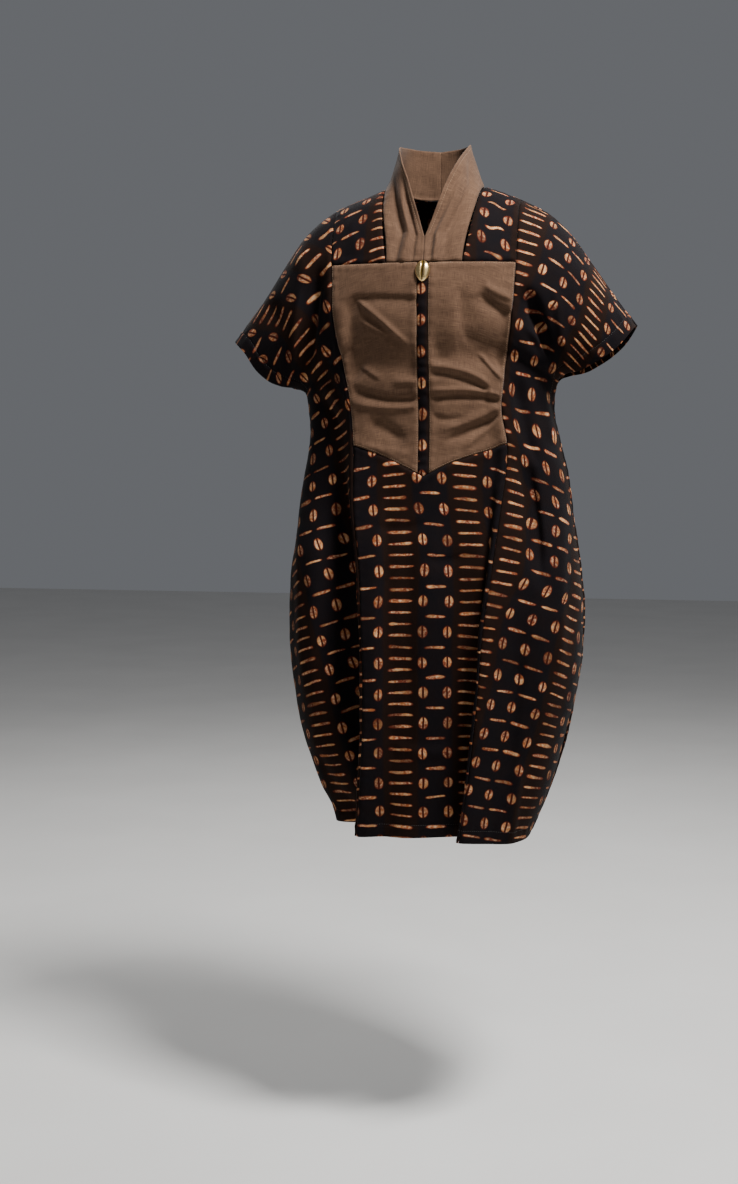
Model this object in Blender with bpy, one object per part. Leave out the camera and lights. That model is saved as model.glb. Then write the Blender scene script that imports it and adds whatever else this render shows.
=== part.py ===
# A worn kaftan dress with cut-on short sleeves: printed cotton side panels, skirt and back,
# a plain linen bodice with a pointed waist, a printed placket, a standing band collar that
# falls into a V, and one cowrie-shaped button. The cloth hangs hollow, as it is worn.
#
# Frame: metres, +Z up, the front faces -Y, the wearer's right side is at -X.
# The origin is the middle of the neck's base, at the height of the shoulder seams.
#
# Every cloth piece is a patch of one draped form. A place on that form has two coordinates:
# x, across the body, and drop, the distance below the neck's base along the centre line.

import math

import bmesh
import bpy
import numpy as np
from mathutils import Matrix, Vector

# Driving dimensions, in metres
CLOTH = 0.0015
SEAM_GAP = 0.0003
SHOULDER_Y = 0.010
SHOULDER_ROUND = 0.20
HEM_DROP = 0.995
LEFT_HEM_DIP = 0.009
DIP_START_DROP = 0.800
DIP_START_X = 0.050
DIP_FADE = 0.080
EDGE_FADE = 0.12
NECK_HALF = 0.075
BACK_NECK_DROP = 0.020
SLEEVE_MOUTH = 0.052
BODICE_TOP = 0.131
BODICE_POINT = 0.447
BODICE_CORNER_RIGHT = 0.385
BODICE_CORNER_LEFT = 0.378
PLACKET_HALF = 0.008
COLLAR_FOOT_FRONT = 0.057
V_POINT = 0.0935
BUTTON_WIDTH = 0.020
BUTTON_HEIGHT = 0.033
BUTTON_DEPTH = 0.007
BUTTON_DROP = 0.1455
BUTTON_BACK = 0.0012
BUTTON_SLIT_DEPTH = 0.42
BUTTON_SLIT_WIDTH = 0.16

# Two knife folds run down the front at the skirt's seams, both lying over to the wearer's right
FOLD_FACE = 0.036
FOLD_REACH = 0.090
FOLD_RISE = 0.050
FOLD_UNDERCUT = 0.008
FOLD_UPPER_COLUMNS = np.array([0.0, 0.012, 0.028, FOLD_RISE])
FOLD_UNDER_COLUMNS = np.concatenate([np.linspace(0.0, FOLD_FACE, 7), [0.052, 0.070, FOLD_REACH]])
FOLD_CREST = 0.45
FOLD_VALLEY = 0.55
SOFT_FOLD_ENDS = 0.3
COLLAR_SEAM_CURVE = 0.8
COLLAR_RISE_START = 0.10
COLLAR_RISE_LENGTH = 0.45

# Rows and columns of the patches
ROWS_SHOULDER = 6
ROWS_BODICE = 11
ROWS_SKIRT = 21
ROWS_BACK = 30
BACK_SHOULDER_END = 0.10
BACK_NECK_STEPS = 6
BACK_SIDE_COLUMNS = 8
SIDE_COLUMNS = 7
SEAM_COLUMNS_SHARE = 0.62
BAND_COLUMNS = 5
TINY = 1e-6
STEP = 1e-4
EDGE_ZONE = 2e-4
COLLAR_STEP = 1e-3

# The overarm line: how far it falls below the neck's base at each distance from the centre
OVERARM_TABLE = [
    # across, fall
    (0.000, 0.000),
    (0.075, 0.010),
    (0.140, 0.034),
    (0.180, 0.057),
    (0.205, 0.080),
    (0.237, 0.124),
    (0.268, 0.170),
    (0.300, 0.214),
    (0.330, 0.256),
]

# Sections of the dress from the shoulders to the hem
SECTION_TABLE = [
    # drop, right half, left half, droop, front, back, right squareness, left squareness
    (0.000, 0.318, 0.306, 1.00, 0.128, 0.112, 2.10, 2.10),
    (0.050, 0.295, 0.288, 1.00, 0.128, 0.114, 2.00, 2.00),
    (0.104, 0.275, 0.264, 1.00, 0.128, 0.116, 1.90, 1.90),
    (0.184, 0.238, 0.224, 1.00, 0.130, 0.118, 1.70, 1.70),
    (0.236, 0.207, 0.191, 1.00, 0.129, 0.117, 1.40, 1.40),
    (0.300, 0.198, 0.184, 0.92, 0.121, 0.114, 1.10, 1.10),
    (0.340, 0.199, 0.194, 0.85, 0.114, 0.112, 1.00, 1.00),
    (0.393, 0.207, 0.206, 0.74, 0.113, 0.113, 0.92, 0.92),
    (0.468, 0.217, 0.217, 0.60, 0.121, 0.120, 0.86, 0.86),
    (0.586, 0.229, 0.232, 0.40, 0.138, 0.136, 0.84, 0.80),
    (0.657, 0.230, 0.232, 0.30, 0.143, 0.143, 0.84, 0.78),
    (0.765, 0.223, 0.222, 0.20, 0.143, 0.142, 0.84, 0.74),
    (0.849, 0.207, 0.205, 0.12, 0.139, 0.136, 0.84, 0.68),
    (0.895, 0.193, 0.193, 0.08, 0.136, 0.131, 0.84, 0.62),
    (0.938, 0.179, 0.178, 0.05, 0.133, 0.127, 0.84, 0.56),
    (0.995, 0.156, 0.156, 0.00, 0.129, 0.122, 0.84, 0.50),
]

# The long seam between the side panels and the yoke, bodice and skirt, and its knife folds
SEAM_TABLE = [
    # drop, right seam, left seam, right fold, left fold
    (0.000, 0.151, 0.133, 0.000, 0.000),
    (0.094, 0.144, 0.135, 0.000, 0.000),
    (0.180, 0.140, 0.130, 0.002, 0.002),
    (0.270, 0.124, 0.119, 0.006, 0.005),
    (0.320, 0.115, 0.115, 0.009, 0.008),
    (0.383, 0.110, 0.124, 0.014, 0.012),
    (0.480, 0.106, 0.117, 0.024, 0.022),
    (0.570, 0.094, 0.107, 0.034, 0.030),
    (0.660, 0.088, 0.096, 0.042, 0.036),
    (0.780, 0.085, 0.087, 0.050, 0.042),
    (0.875, 0.089, 0.077, 0.055, 0.044),
    (0.995, 0.100, 0.060, 0.060, 0.046),
]

# Large soft folds of the worn cloth, each along a line on the form
SOFT_FOLDS = [
    # face, x start, drop start, x end, drop end, width, height
    ("front", -0.197, 0.236, -0.166, 0.070, 0.017, -0.014),
    ("front", 0.180, 0.228, 0.147, 0.125, 0.017, -0.014),
    ("front", -0.182, 0.400, -0.176, 0.900, 0.024, 0.010),
    ("front", 0.143, 0.350, 0.168, 0.580, 0.016, -0.012),
    ("front", 0.186, 0.420, 0.178, 0.880, 0.024, 0.007),
    ("back", -0.195, 0.236, -0.160, 0.080, 0.018, -0.013),
    ("back", 0.182, 0.236, 0.150, 0.080, 0.018, -0.013),
    ("back", -0.062, 0.360, -0.082, 1.050, 0.026, 0.012),
    ("back", -0.112, 0.400, -0.128, 1.050, 0.020, -0.012),
    ("back", 0.020, 0.420, 0.026, 1.050, 0.024, -0.010),
    ("back", 0.078, 0.340, 0.094, 1.050, 0.026, 0.013),
    ("back", 0.130, 0.420, 0.138, 1.050, 0.018, -0.010),
]

# The collar's free edge, from the bodice up to the V and round to the middle of the back
COLLAR_EDGE_TABLE = [
    # station, across, y, z
    (0.45, 0.0150, -0.0880, -0.0500),
    (0.60, 0.0275, -0.0740, -0.0130),
    (0.80, 0.0420, -0.0520, 0.0220),
    (1.00, 0.0530, -0.0160, 0.0480),
    (1.30, 0.0500, 0.0220, 0.0560),
    (1.65, 0.0310, 0.0500, 0.0560),
    (2.00, 0.0000, 0.0600, 0.0540),
]
V_STATION = 0.27


def smooth_through(table, column):
    """Give a function that runs smoothly through one column of a table, keyed by its first."""
    knots = np.array([row[0] for row in table])
    values = np.array([row[column] for row in table])
    step = np.diff(knots)
    rise = np.diff(values) / step
    slope = np.empty(len(values))
    slope[1:-1] = (rise[:-1] * step[1:] + rise[1:] * step[:-1]) / (step[:-1] + step[1:])
    slope[0] = rise[0]
    slope[-1] = rise[-1]

    def at(place):
        place = np.clip(place, knots[0], knots[-1])
        i = np.clip(np.searchsorted(knots, place, side="right") - 1, 0, len(step) - 1)
        t = (place - knots[i]) / step[i]
        low = values[i] * (1 + 2 * t) * (1 - t) ** 2 + slope[i] * step[i] * t * (1 - t) ** 2
        high = values[i + 1] * t**2 * (3 - 2 * t) + slope[i + 1] * step[i] * t**2 * (t - 1)
        return low + high

    return at


overarm_fall = smooth_through(OVERARM_TABLE, 1)
right_half = smooth_through(SECTION_TABLE, 1)
left_half = smooth_through(SECTION_TABLE, 2)
droop = smooth_through(SECTION_TABLE, 3)
front_reach = smooth_through(SECTION_TABLE, 4)
back_reach = smooth_through(SECTION_TABLE, 5)
right_squareness = smooth_through(SECTION_TABLE, 6)
left_squareness = smooth_through(SECTION_TABLE, 7)
right_seam = smooth_through(SEAM_TABLE, 1)
left_seam = smooth_through(SEAM_TABLE, 2)
right_fold = smooth_through(SEAM_TABLE, 3)
left_fold = smooth_through(SEAM_TABLE, 4)
UNDERARM_DROP = SECTION_TABLE[4][0]


def ease(t):
    """Go from 0 to 1 with level ends."""
    t = np.clip(t, 0.0, 1.0)
    return t * t * (3 - 2 * t)


def half_width(x, drop):
    """Half width of the section on the side that x is on."""
    return np.where(x < 0, right_half(drop), left_half(drop))


def squareness(x, drop):
    """How boxy the section is on the side that x is on: 1 is an ellipse and 0 a box."""
    return np.where(x < 0, right_squareness(drop), left_squareness(drop))


def knife_fold(x, seam, depth):
    """Shift of the cloth across and forward, by a knife fold whose crest is at the seam."""
    s = seam - x
    turned = ease(s / FOLD_FACE)
    back_again = ease((s - FOLD_FACE) / (FOLD_REACH - FOLD_FACE))
    strength = depth / SEAM_TABLE[-1][3]
    across = (FOLD_FACE + FOLD_UNDERCUT) * turned * (1 - back_again) * strength
    crest = FOLD_CREST * depth
    valley = -FOLD_VALLEY * depth
    forward = np.where(s < 0, crest * ease(1 + s / FOLD_RISE), crest + (valley - crest) * turned)
    forward = np.where(s > FOLD_FACE, valley * (1 - back_again), forward)
    return across, forward


def soft_fold_height(face, x, drop):
    """Height of the large soft folds at a place, outward."""
    height = np.zeros(np.shape(x))
    for fold_face, x0, drop0, x1, drop1, width, rise in SOFT_FOLDS:
        if fold_face != face:
            continue
        length = math.hypot(x1 - x0, drop1 - drop0)
        along_x = (x1 - x0) / length
        along_drop = (drop1 - drop0) / length
        along = ((x - x0) * along_x + (drop - drop0) * along_drop) / length
        aside = (x - x0) * along_drop - (drop - drop0) * along_x
        fade = ease(along / SOFT_FOLD_ENDS) * ease((1 - along) / SOFT_FOLD_ENDS)
        height = height + rise * fade * np.exp(-((aside / width) ** 2))
    return height


def form(face, x, drop):
    """Points of the draped form, on its front or back, at x across and drop down."""
    x = np.asarray(x, dtype=float)
    drop = np.asarray(drop, dtype=float)
    half = half_width(x, drop)
    share = np.clip(np.abs(x) / half, 0.0, 1.0)
    level = np.sqrt(1 - share**2) ** squareness(x, drop)
    round_top = np.sqrt(1 - (1 - np.clip(drop / SHOULDER_ROUND, 0.0, 1.0)) ** 2)
    along_hem = np.clip(drop / UNDERARM_DROP, 0.0, 1.0)
    mouth = SLEEVE_MOUTH * 2 * np.sqrt(along_hem * (1 - along_hem))
    reach = front_reach(drop) if face == "front" else back_reach(drop)
    depth = reach * round_top * level + mouth * (1 - level)
    edge_fade = ease((1 - share) / EDGE_FADE) * round_top
    depth = depth + soft_fold_height(face, x, drop) * edge_fade
    moved_x = x
    if face == "front":
        across_right, forward_right = knife_fold(x, -right_seam(drop), right_fold(drop))
        across_left, forward_left = knife_fold(x, left_seam(drop), left_fold(drop))
        moved_x = x + (across_right + across_left) * edge_fade
        depth = depth + (forward_right + forward_left) * edge_fade
    dip_down = ease((drop - DIP_START_DROP) / (HEM_DROP - DIP_START_DROP))
    dip = LEFT_HEM_DIP * dip_down * ease((x - DIP_START_X) / DIP_FADE)
    z = -drop - droop(drop) * overarm_fall(np.abs(x)) - dip
    outward = -1.0 if face == "front" else 1.0
    y = SHOULDER_Y + outward * (SEAM_GAP / 2 + depth)
    return np.stack([moved_x, y, z], axis=-1)


def form_normal(face, x, drop):
    """Outward normals of the form, measured on the cloth's own side of each edge."""
    at_edge = np.abs(x) > half_width(x, drop) - EDGE_ZONE
    x_in = np.where(at_edge, x - np.sign(x) * TINY, x - STEP)
    x_out = np.where(at_edge, x, x + STEP)
    at_top = drop < EDGE_ZONE
    step_drop = np.where(at_top, TINY, STEP)
    drop_low = np.where(at_top, drop, drop - step_drop)
    x_high = np.where(at_edge, np.sign(x) * half_width(x, drop + step_drop), x)
    x_low = np.where(at_edge, np.sign(x) * half_width(x, drop_low), x)
    across = form(face, x_out, drop) - form(face, x_in, drop)
    across = across * np.where(at_edge & (x < 0), -1.0, 1.0)[..., None]
    down = form(face, x_high, drop + step_drop) - form(face, x_low, drop_low)
    normal = np.cross(down, across)
    if face == "back":
        normal = -normal
    return normal / np.linalg.norm(normal, axis=-1, keepdims=True)


def material(name, colour, roughness, metallic=0.0):
    """A plain surface with the piece's colour."""
    made = bpy.data.materials.new(name)
    made.use_nodes = True
    shader = made.node_tree.nodes["Principled BSDF"]
    shader.inputs["Base Color"].default_value = (*colour, 1.0)
    shader.inputs["Roughness"].default_value = roughness
    shader.inputs["Metallic"].default_value = metallic
    return made


def cloth_wall(name, outer, normals, surface, collection):
    """A closed wall of cloth, lofted from a grid of outer points and their normals."""
    inner = outer - CLOTH * normals
    rows, columns = outer.shape[:2]
    bm = bmesh.new()
    out = [[bm.verts.new(outer[r, k]) for k in range(columns)] for r in range(rows)]
    inn = [[bm.verts.new(inner[r, k]) for k in range(columns)] for r in range(rows)]
    for r in range(rows - 1):
        for k in range(columns - 1):
            bm.faces.new((out[r][k], out[r + 1][k], out[r + 1][k + 1], out[r][k + 1]))
            bm.faces.new((inn[r][k], inn[r][k + 1], inn[r + 1][k + 1], inn[r + 1][k]))
    rim = [(r, 0) for r in range(rows)]
    rim += [(rows - 1, k) for k in range(1, columns)]
    rim += [(r, columns - 1) for r in range(rows - 2, -1, -1)]
    rim += [(0, k) for k in range(columns - 2, 0, -1)]
    for (r0, k0), (r1, k1) in zip(rim, rim[1:] + rim[:1]):
        bm.faces.new((out[r1][k1], out[r0][k0], inn[r0][k0], inn[r1][k1]))
    bmesh.ops.recalc_face_normals(bm, faces=bm.faces)
    mesh = bpy.data.meshes.new(name)
    bm.to_mesh(mesh)
    bm.free()
    mesh.shade_smooth()
    mesh.set_sharp_from_angle(angle=math.radians(50))
    mesh.materials.append(surface)
    piece = bpy.data.objects.new(name, mesh)
    collection.objects.link(piece)
    return piece


def form_wall(name, face, x, drop, surface, collection):
    """A cloth wall over a grid of places on the form."""
    outer = form(face, x, drop)
    cloth_wall(name, outer, form_normal(face, x, drop), surface, collection)


def bodice_top_drop(x):
    """Drop of the bodice's level top edge at x."""
    return BODICE_TOP - overarm_fall(np.abs(x))


def side_corner_drops(side):
    """Drops at which the long seam passes the bodice's top and bottom corners."""
    if side == "right":
        return float(bodice_top_drop(right_seam(V_POINT))), BODICE_CORNER_RIGHT
    return float(bodice_top_drop(left_seam(V_POINT))), BODICE_CORNER_LEFT


def bodice_bottom_drop(x, side):
    """Drop of the bodice's pointed lower edge at x."""
    corner = side_corner_drops(side)[1]
    half = right_seam(corner) if side == "right" else left_seam(corner)
    return BODICE_POINT - (BODICE_POINT - corner) * np.abs(x) / half


def shoulder_rows(end):
    """Drops from the shoulder line to end, close together where the shoulder turns."""
    last = math.acos(1 - end / SHOULDER_ROUND)
    return SHOULDER_ROUND * (1 - np.cos(np.linspace(0.0, last, ROWS_SHOULDER + 1)))


def long_seam_rows(side):
    """Drops of the rows along the long seam, which its neighbours share."""
    top, bottom = side_corner_drops(side)
    upper = shoulder_rows(top)
    middle = np.linspace(top, bottom, ROWS_BODICE + 1)[1:]
    lower = np.linspace(bottom, HEM_DROP, ROWS_SKIRT + 1)[1:]
    return np.concatenate([upper, middle, lower])


def make_side(side, surface, collection):
    """A side panel with its cut-on sleeve: shoulder and overarm to hem, seam to side seam."""
    drops = long_seam_rows(side)
    if side == "right":
        near = FOLD_UNDER_COLUMNS[:-1]
        seam, half, sign = right_seam, right_half, -1.0
    else:
        near = FOLD_UPPER_COLUMNS
        seam, half, sign = left_seam, left_half, 1.0
    rows = []
    for drop in drops:
        start = float(seam(drop)) + SEAM_GAP / 2
        width = float(half(drop))
        room = min(1.0, SEAM_COLUMNS_SHARE * (width - start) / near[-1])
        inner = start + near * room
        turn = math.asin(inner[-1] / width)
        turns = np.linspace(turn, math.pi / 2, SIDE_COLUMNS + 1)[1:]
        rows.append(sign * np.concatenate([inner, width * np.sin(turns)]))
    x = np.array(rows)
    drop = np.repeat(drops[:, None], x.shape[1], axis=1)
    if side == "right":
        x = x[:, ::-1]
    form_wall("side_" + side, "front", x, drop, surface, collection)


def skirt_columns(right_edge, left_edge):
    """Places across the skirt's front between its seams, close together at the folds."""
    by_right = -right_edge + FOLD_UPPER_COLUMNS
    by_left = left_edge - FOLD_UNDER_COLUMNS[::-1]
    middle = by_right[-1] + (by_left[0] - by_right[-1]) * middle_shares()
    return np.concatenate([by_right, middle, by_left])


def middle_shares():
    """Shares of the way between the folds at which the placket's lines go on down the skirt."""
    start = -float(right_seam(side_corner_drops("right")[1])) + FOLD_RISE
    end = float(left_seam(side_corner_drops("left")[1])) - FOLD_REACH
    places = np.array([-4 * PLACKET_HALF, -PLACKET_HALF, 0.0, PLACKET_HALF])
    return (places - start) / (end - start)


def bodice_shares(side):
    """Shares of the way from placket to long seam that carry on the skirt's columns."""
    right_edge = float(right_seam(side_corner_drops("right")[1]))
    left_edge = float(left_seam(side_corner_drops("left")[1]))
    across = skirt_columns(right_edge, left_edge)
    if side == "right":
        across = -across[::-1]
    outer = right_edge if side == "right" else left_edge
    kept = across[across > PLACKET_HALF - TINY]
    return (kept - PLACKET_HALF) / (outer - PLACKET_HALF)


def make_skirt_front(surface, collection):
    """The skirt's front, from the bodice's pointed edge to the hem."""
    rows_right = long_seam_rows("right")[-ROWS_SKIRT - 1:]
    rows_left = long_seam_rows("left")[-ROWS_SKIRT - 1:]
    fractions = np.linspace(0.0, 1.0, ROWS_SKIRT + 1)
    grid_x = []
    grid_drop = []
    for fraction, drop_right, drop_left in zip(fractions, rows_right, rows_left):
        across = skirt_columns(float(right_seam(drop_right)), float(left_seam(drop_left)))
        across[0] += SEAM_GAP / 2
        across[-1] -= SEAM_GAP / 2
        top_right = bodice_bottom_drop(across, "right")
        top_left = bodice_bottom_drop(across, "left")
        top = np.where(across < 0, top_right, top_left)
        top[0] = rows_right[0]
        top[-1] = rows_left[0]
        top = top + SEAM_GAP / 2
        grid_x.append(across)
        grid_drop.append(top + (HEM_DROP - top) * fraction)
    grid_drop = np.array(grid_drop)
    grid_drop[:, 0] = rows_right
    grid_drop[:, -1] = rows_left
    grid_drop[0, 0] += SEAM_GAP / 2
    grid_drop[0, -1] += SEAM_GAP / 2
    form_wall("skirt_front", "front", np.array(grid_x), grid_drop, surface, collection)


def make_bodice(side, surface, collection):
    """One half of the bodice, from the placket to the long seam."""
    drops = long_seam_rows(side)[ROWS_SHOULDER:ROWS_SHOULDER + ROWS_BODICE + 1]
    seam = right_seam if side == "right" else left_seam
    sign = -1.0 if side == "right" else 1.0
    shares = bodice_shares(side)
    inner = PLACKET_HALF + SEAM_GAP / 2
    grid_x = []
    grid_drop = []
    for i, drop in enumerate(drops):
        fraction = i / ROWS_BODICE
        outer = float(seam(drop)) - SEAM_GAP / 2
        across = inner + (outer - inner) * shares
        top = bodice_top_drop(across) + SEAM_GAP / 2
        bottom = bodice_bottom_drop(across, side) - SEAM_GAP / 2
        here = top + (bottom - top) * fraction
        here[-1] = drop
        if i == 0:
            here[-1] = drop + SEAM_GAP / 2
        if i == ROWS_BODICE:
            here[-1] = drop - SEAM_GAP / 2
        grid_x.append(sign * across)
        grid_drop.append(here)
    x = np.array(grid_x)
    drop = np.array(grid_drop)
    if side == "right":
        x = x[:, ::-1]
        drop = drop[:, ::-1]
    form_wall("bodice_" + side, "front", x, drop, surface, collection)


def make_placket(surface, collection):
    """The printed strip down the centre front, between the bodice's halves."""
    half = PLACKET_HALF - SEAM_GAP / 2
    across = np.array([-half, 0.0, half])
    top = np.full(len(across), BODICE_TOP + SEAM_GAP / 2)
    bottom = bodice_bottom_drop(across, "right") - SEAM_GAP / 2
    fractions = np.linspace(0.0, 1.0, ROWS_BODICE + 1)[:, None]
    drop = top + (bottom - top) * fractions
    x = np.repeat(across[None, :], len(fractions), axis=0)
    form_wall("placket", "front", x, drop, surface, collection)


def collar_seam(drop):
    """Distance of the collar's front seam from the centre, at a drop."""
    down = ease(drop / BODICE_TOP) ** COLLAR_SEAM_CURVE
    return NECK_HALF + (COLLAR_FOOT_FRONT - NECK_HALF) * down


def yoke_inner_drops():
    """Drops of the rows along the collar's front seam, which the yoke shares."""
    return shoulder_rows(float(bodice_top_drop(COLLAR_FOOT_FRONT)))


def make_yoke(side, surface, collection):
    """The printed yoke between the collar and the side panel, down to the bodice."""
    outer_drops = long_seam_rows(side)[:ROWS_SHOULDER + 1]
    inner_drops = yoke_inner_drops()
    seam = right_seam if side == "right" else left_seam
    sign = -1.0 if side == "right" else 1.0
    shares = np.linspace(0.0, 1.0, BAND_COLUMNS)
    grid_x = []
    grid_drop = []
    for i in range(ROWS_SHOULDER + 1):
        inner = float(collar_seam(inner_drops[i])) + SEAM_GAP / 2
        outer = float(seam(outer_drops[i])) - SEAM_GAP / 2
        across = inner + (outer - inner) * shares
        here = inner_drops[i] + (outer_drops[i] - inner_drops[i]) * shares
        if i == ROWS_SHOULDER:
            here = bodice_top_drop(across) - SEAM_GAP / 2
        grid_x.append(sign * across)
        grid_drop.append(here)
    x = np.array(grid_x)
    drop = np.array(grid_drop)
    if side == "right":
        x = x[:, ::-1]
        drop = drop[:, ::-1]
    form_wall("yoke_" + side, "front", x, drop, surface, collection)


def back_neck_drop(x):
    """Drop of the back's upper edge at x: the overarm line, dipping at the neck."""
    return BACK_NECK_DROP * np.clip(1 - (x / NECK_HALF) ** 2, 0.0, 1.0)


def make_back(surface, collection):
    """The back, one piece with its cut-on sleeves, from side seam to side seam."""
    neck = NECK_HALF * np.sin(np.linspace(0.0, math.pi / 2, BACK_NECK_STEPS + 1))
    lower = np.linspace(BACK_SHOULDER_END, HEM_DROP, ROWS_BACK + 1)[1:]
    fractions = np.concatenate([shoulder_rows(BACK_SHOULDER_END), lower]) / HEM_DROP
    columns = []
    for sign, half in ((-1.0, right_half), (1.0, left_half)):
        turns = [math.asin(x / float(half(back_neck_drop(x)))) for x in neck]
        turns += list(np.linspace(turns[-1], math.pi / 2, BACK_SIDE_COLUMNS + 1)[1:])
        tops = [float(back_neck_drop(x)) for x in neck] + [0.0] * BACK_SIDE_COLUMNS
        columns.append([(sign * turn, top) for turn, top in zip(turns, tops)])
    ordered = columns[0][:0:-1] + columns[1]
    grid_x = []
    grid_drop = []
    for fraction in fractions:
        line_x = []
        line_drop = []
        for turn, top in ordered:
            drop = top + (HEM_DROP - top) * fraction
            width = float(half_width(turn, drop))
            line_x.append(width * math.sin(turn))
            line_drop.append(drop)
        grid_x.append(line_x)
        grid_drop.append(line_drop)
    x = np.array(grid_x)[:, ::-1]
    drop = np.array(grid_drop)[:, ::-1]
    form_wall("back", "back", x, drop, surface, collection)


collar_edge_x = smooth_through(COLLAR_EDGE_TABLE, 1)
collar_edge_y = smooth_through(COLLAR_EDGE_TABLE, 2)
collar_edge_z = smooth_through(COLLAR_EDGE_TABLE, 3)


def collar_foot(station):
    """The collar's sewn edge on the wearer's left: 0 at the bodice, 1 at the shoulder, 2 behind."""
    if station <= 1.0:
        last = math.acos(1 - yoke_inner_drops()[-1] / SHOULDER_ROUND)
        drop = SHOULDER_ROUND * (1 - math.cos(last * (1 - station)))
        x = float(collar_seam(drop)) - SEAM_GAP / 2
        point = form("front", x, drop)
        point[1] += SEAM_GAP / 2
        return point
    turn = (station - 1.0) * math.pi / 2
    x = NECK_HALF * math.cos(turn)
    point = form("back", x, float(back_neck_drop(x)))
    outward = np.array([math.cos(turn), math.sin(turn), 0.0])
    return point - SEAM_GAP * outward


def collar_free_edge(station):
    """The collar's free edge on the wearer's left, at the same stations as its sewn edge."""
    first = COLLAR_EDGE_TABLE[0][0]
    if station >= first:
        return np.array([float(f(station)) for f in (collar_edge_x, collar_edge_y, collar_edge_z)])
    meeting = SEAM_GAP / 2
    top = form("front", meeting, V_POINT)
    if station <= V_STATION:
        drop = BODICE_TOP + (V_POINT - BODICE_TOP) * station / V_STATION
        return form("front", meeting, drop)
    t = (station - V_STATION) / (first - V_STATION)
    end = np.array([float(f(first)) for f in (collar_edge_x, collar_edge_y, collar_edge_z)])
    return top + (end - top) * t


def collar_point(station, share):
    """A point of the collar: share 0 on its sewn edge and 1 on its free edge."""
    foot = collar_foot(station)
    edge = collar_free_edge(station)
    ruled = foot + (edge - foot) * share
    across = foot[0] + (edge[0] - foot[0]) * share
    drop_foot = -foot[2] - float(overarm_fall(foot[0]))
    drop_edge = -edge[2] - float(overarm_fall(edge[0]))
    drop = max(drop_foot + (drop_edge - drop_foot) * share, 0.0)
    lying = form("front", across, drop)
    lift = float(ease((station - COLLAR_RISE_START) / COLLAR_RISE_LENGTH))
    return lying + (ruled - lying) * lift


def make_collar(side, surface, collection):
    """One half of the band collar, joined to the other at the middle of the back."""
    before_shoulder = np.linspace(0.0, 1.0, ROWS_SHOULDER + 1)
    behind = np.linspace(1.0, 2.0, BACK_NECK_STEPS + 1)
    stations = np.unique(np.concatenate([before_shoulder, behind, [V_STATION]]))
    shares = np.linspace(0.0, 1.0, BAND_COLUMNS)
    outer = np.zeros((len(stations), len(shares), 3))
    normals = np.zeros_like(outer)
    for r, station in enumerate(stations):
        before = max(station - COLLAR_STEP, 0.0)
        after = min(station + COLLAR_STEP, 2.0)
        for k, share in enumerate(shares):
            low = max(share - COLLAR_STEP, 0.0)
            high = min(share + COLLAR_STEP, 1.0)
            outer[r, k] = collar_point(station, share)
            along = collar_point(after, share) - collar_point(before, share)
            across = collar_point(station, high) - collar_point(station, low)
            normal = np.cross(across, along)
            normals[r, k] = -normal / np.linalg.norm(normal)
    normals[-1, :, 0] = 0.0
    outer[-1, :, 0] = SEAM_GAP / 2
    outer[0, :, 2] = -BODICE_TOP + SEAM_GAP / 2
    normals[-1] /= np.linalg.norm(normals[-1], axis=-1, keepdims=True)
    # The two halves meet along the front, so their rims there face each other squarely
    meeting = stations <= V_STATION
    normals[meeting, -1, 0] = 0.0
    normals /= np.linalg.norm(normals, axis=-1, keepdims=True)
    if side == "right":
        outer = outer * np.array([-1.0, 1.0, 1.0])
        normals = normals * np.array([-1.0, 1.0, 1.0])
    cloth_wall("collar_" + side, outer, normals, surface, collection)


def make_button(surface, collection):
    """The cowrie-shaped button: an egg that tapers downward, with a slit between two lobes."""
    seat = form("front", 0.0, BUTTON_DROP)
    normal = form_normal("front", np.array(0.0), np.array(BUTTON_DROP))
    bm = bmesh.new()
    bmesh.ops.create_uvsphere(bm, u_segments=24, v_segments=14, radius=1.0)
    for vert in bm.verts:
        # The sphere's poles lie at the button's ends, and its face looks along -Y
        x, y, z = vert.co
        taper = 1.0 + 0.22 * z - 0.12 * z * z
        lobe = 1.0 - BUTTON_SLIT_DEPTH * math.exp(-((x / BUTTON_SLIT_WIDTH) ** 2)) * (1 - z * z)
        if y < 0:
            front = y * lobe * BUTTON_DEPTH
        else:
            front = y * BUTTON_BACK
        vert.co = Vector((x * taper * BUTTON_WIDTH / 2, front, z * BUTTON_HEIGHT / 2))
    mesh = bpy.data.meshes.new("cowrie_button")
    bmesh.ops.recalc_face_normals(bm, faces=bm.faces)
    bm.to_mesh(mesh)
    bm.free()
    mesh.shade_smooth()
    mesh.materials.append(surface)
    piece = bpy.data.objects.new("cowrie_button", mesh)
    lean = math.atan2(normal[2], -normal[1])
    seat = seat + normal * (BUTTON_BACK + SEAM_GAP)
    piece.matrix_world = Matrix.Translation(Vector(seat)) @ Matrix.Rotation(-lean, 4, "X")
    collection.objects.link(piece)


def main():
    for old in list(bpy.data.objects):
        bpy.data.objects.remove(old, do_unlink=True)
    dress = bpy.data.collections.new("dress")
    bpy.context.scene.collection.children.link(dress)
    printed = material("printed_cotton", (0.020, 0.015, 0.014), 0.85)
    linen = material("brown_linen", (0.16, 0.095, 0.055), 0.9)
    brass = material("gilt_brass", (0.75, 0.50, 0.18), 0.3, 1.0)
    for side in ("right", "left"):
        make_side(side, printed, dress)
        make_yoke(side, printed, dress)
        make_bodice(side, linen, dress)
        make_collar(side, linen, dress)
    make_skirt_front(printed, dress)
    make_placket(printed, dress)
    make_back(printed, dress)
    make_button(brass, dress)


main()
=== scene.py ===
import math
from functools import partial
import bmesh
import bpy
import numpy as np
from mathutils import Matrix, Vector


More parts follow.
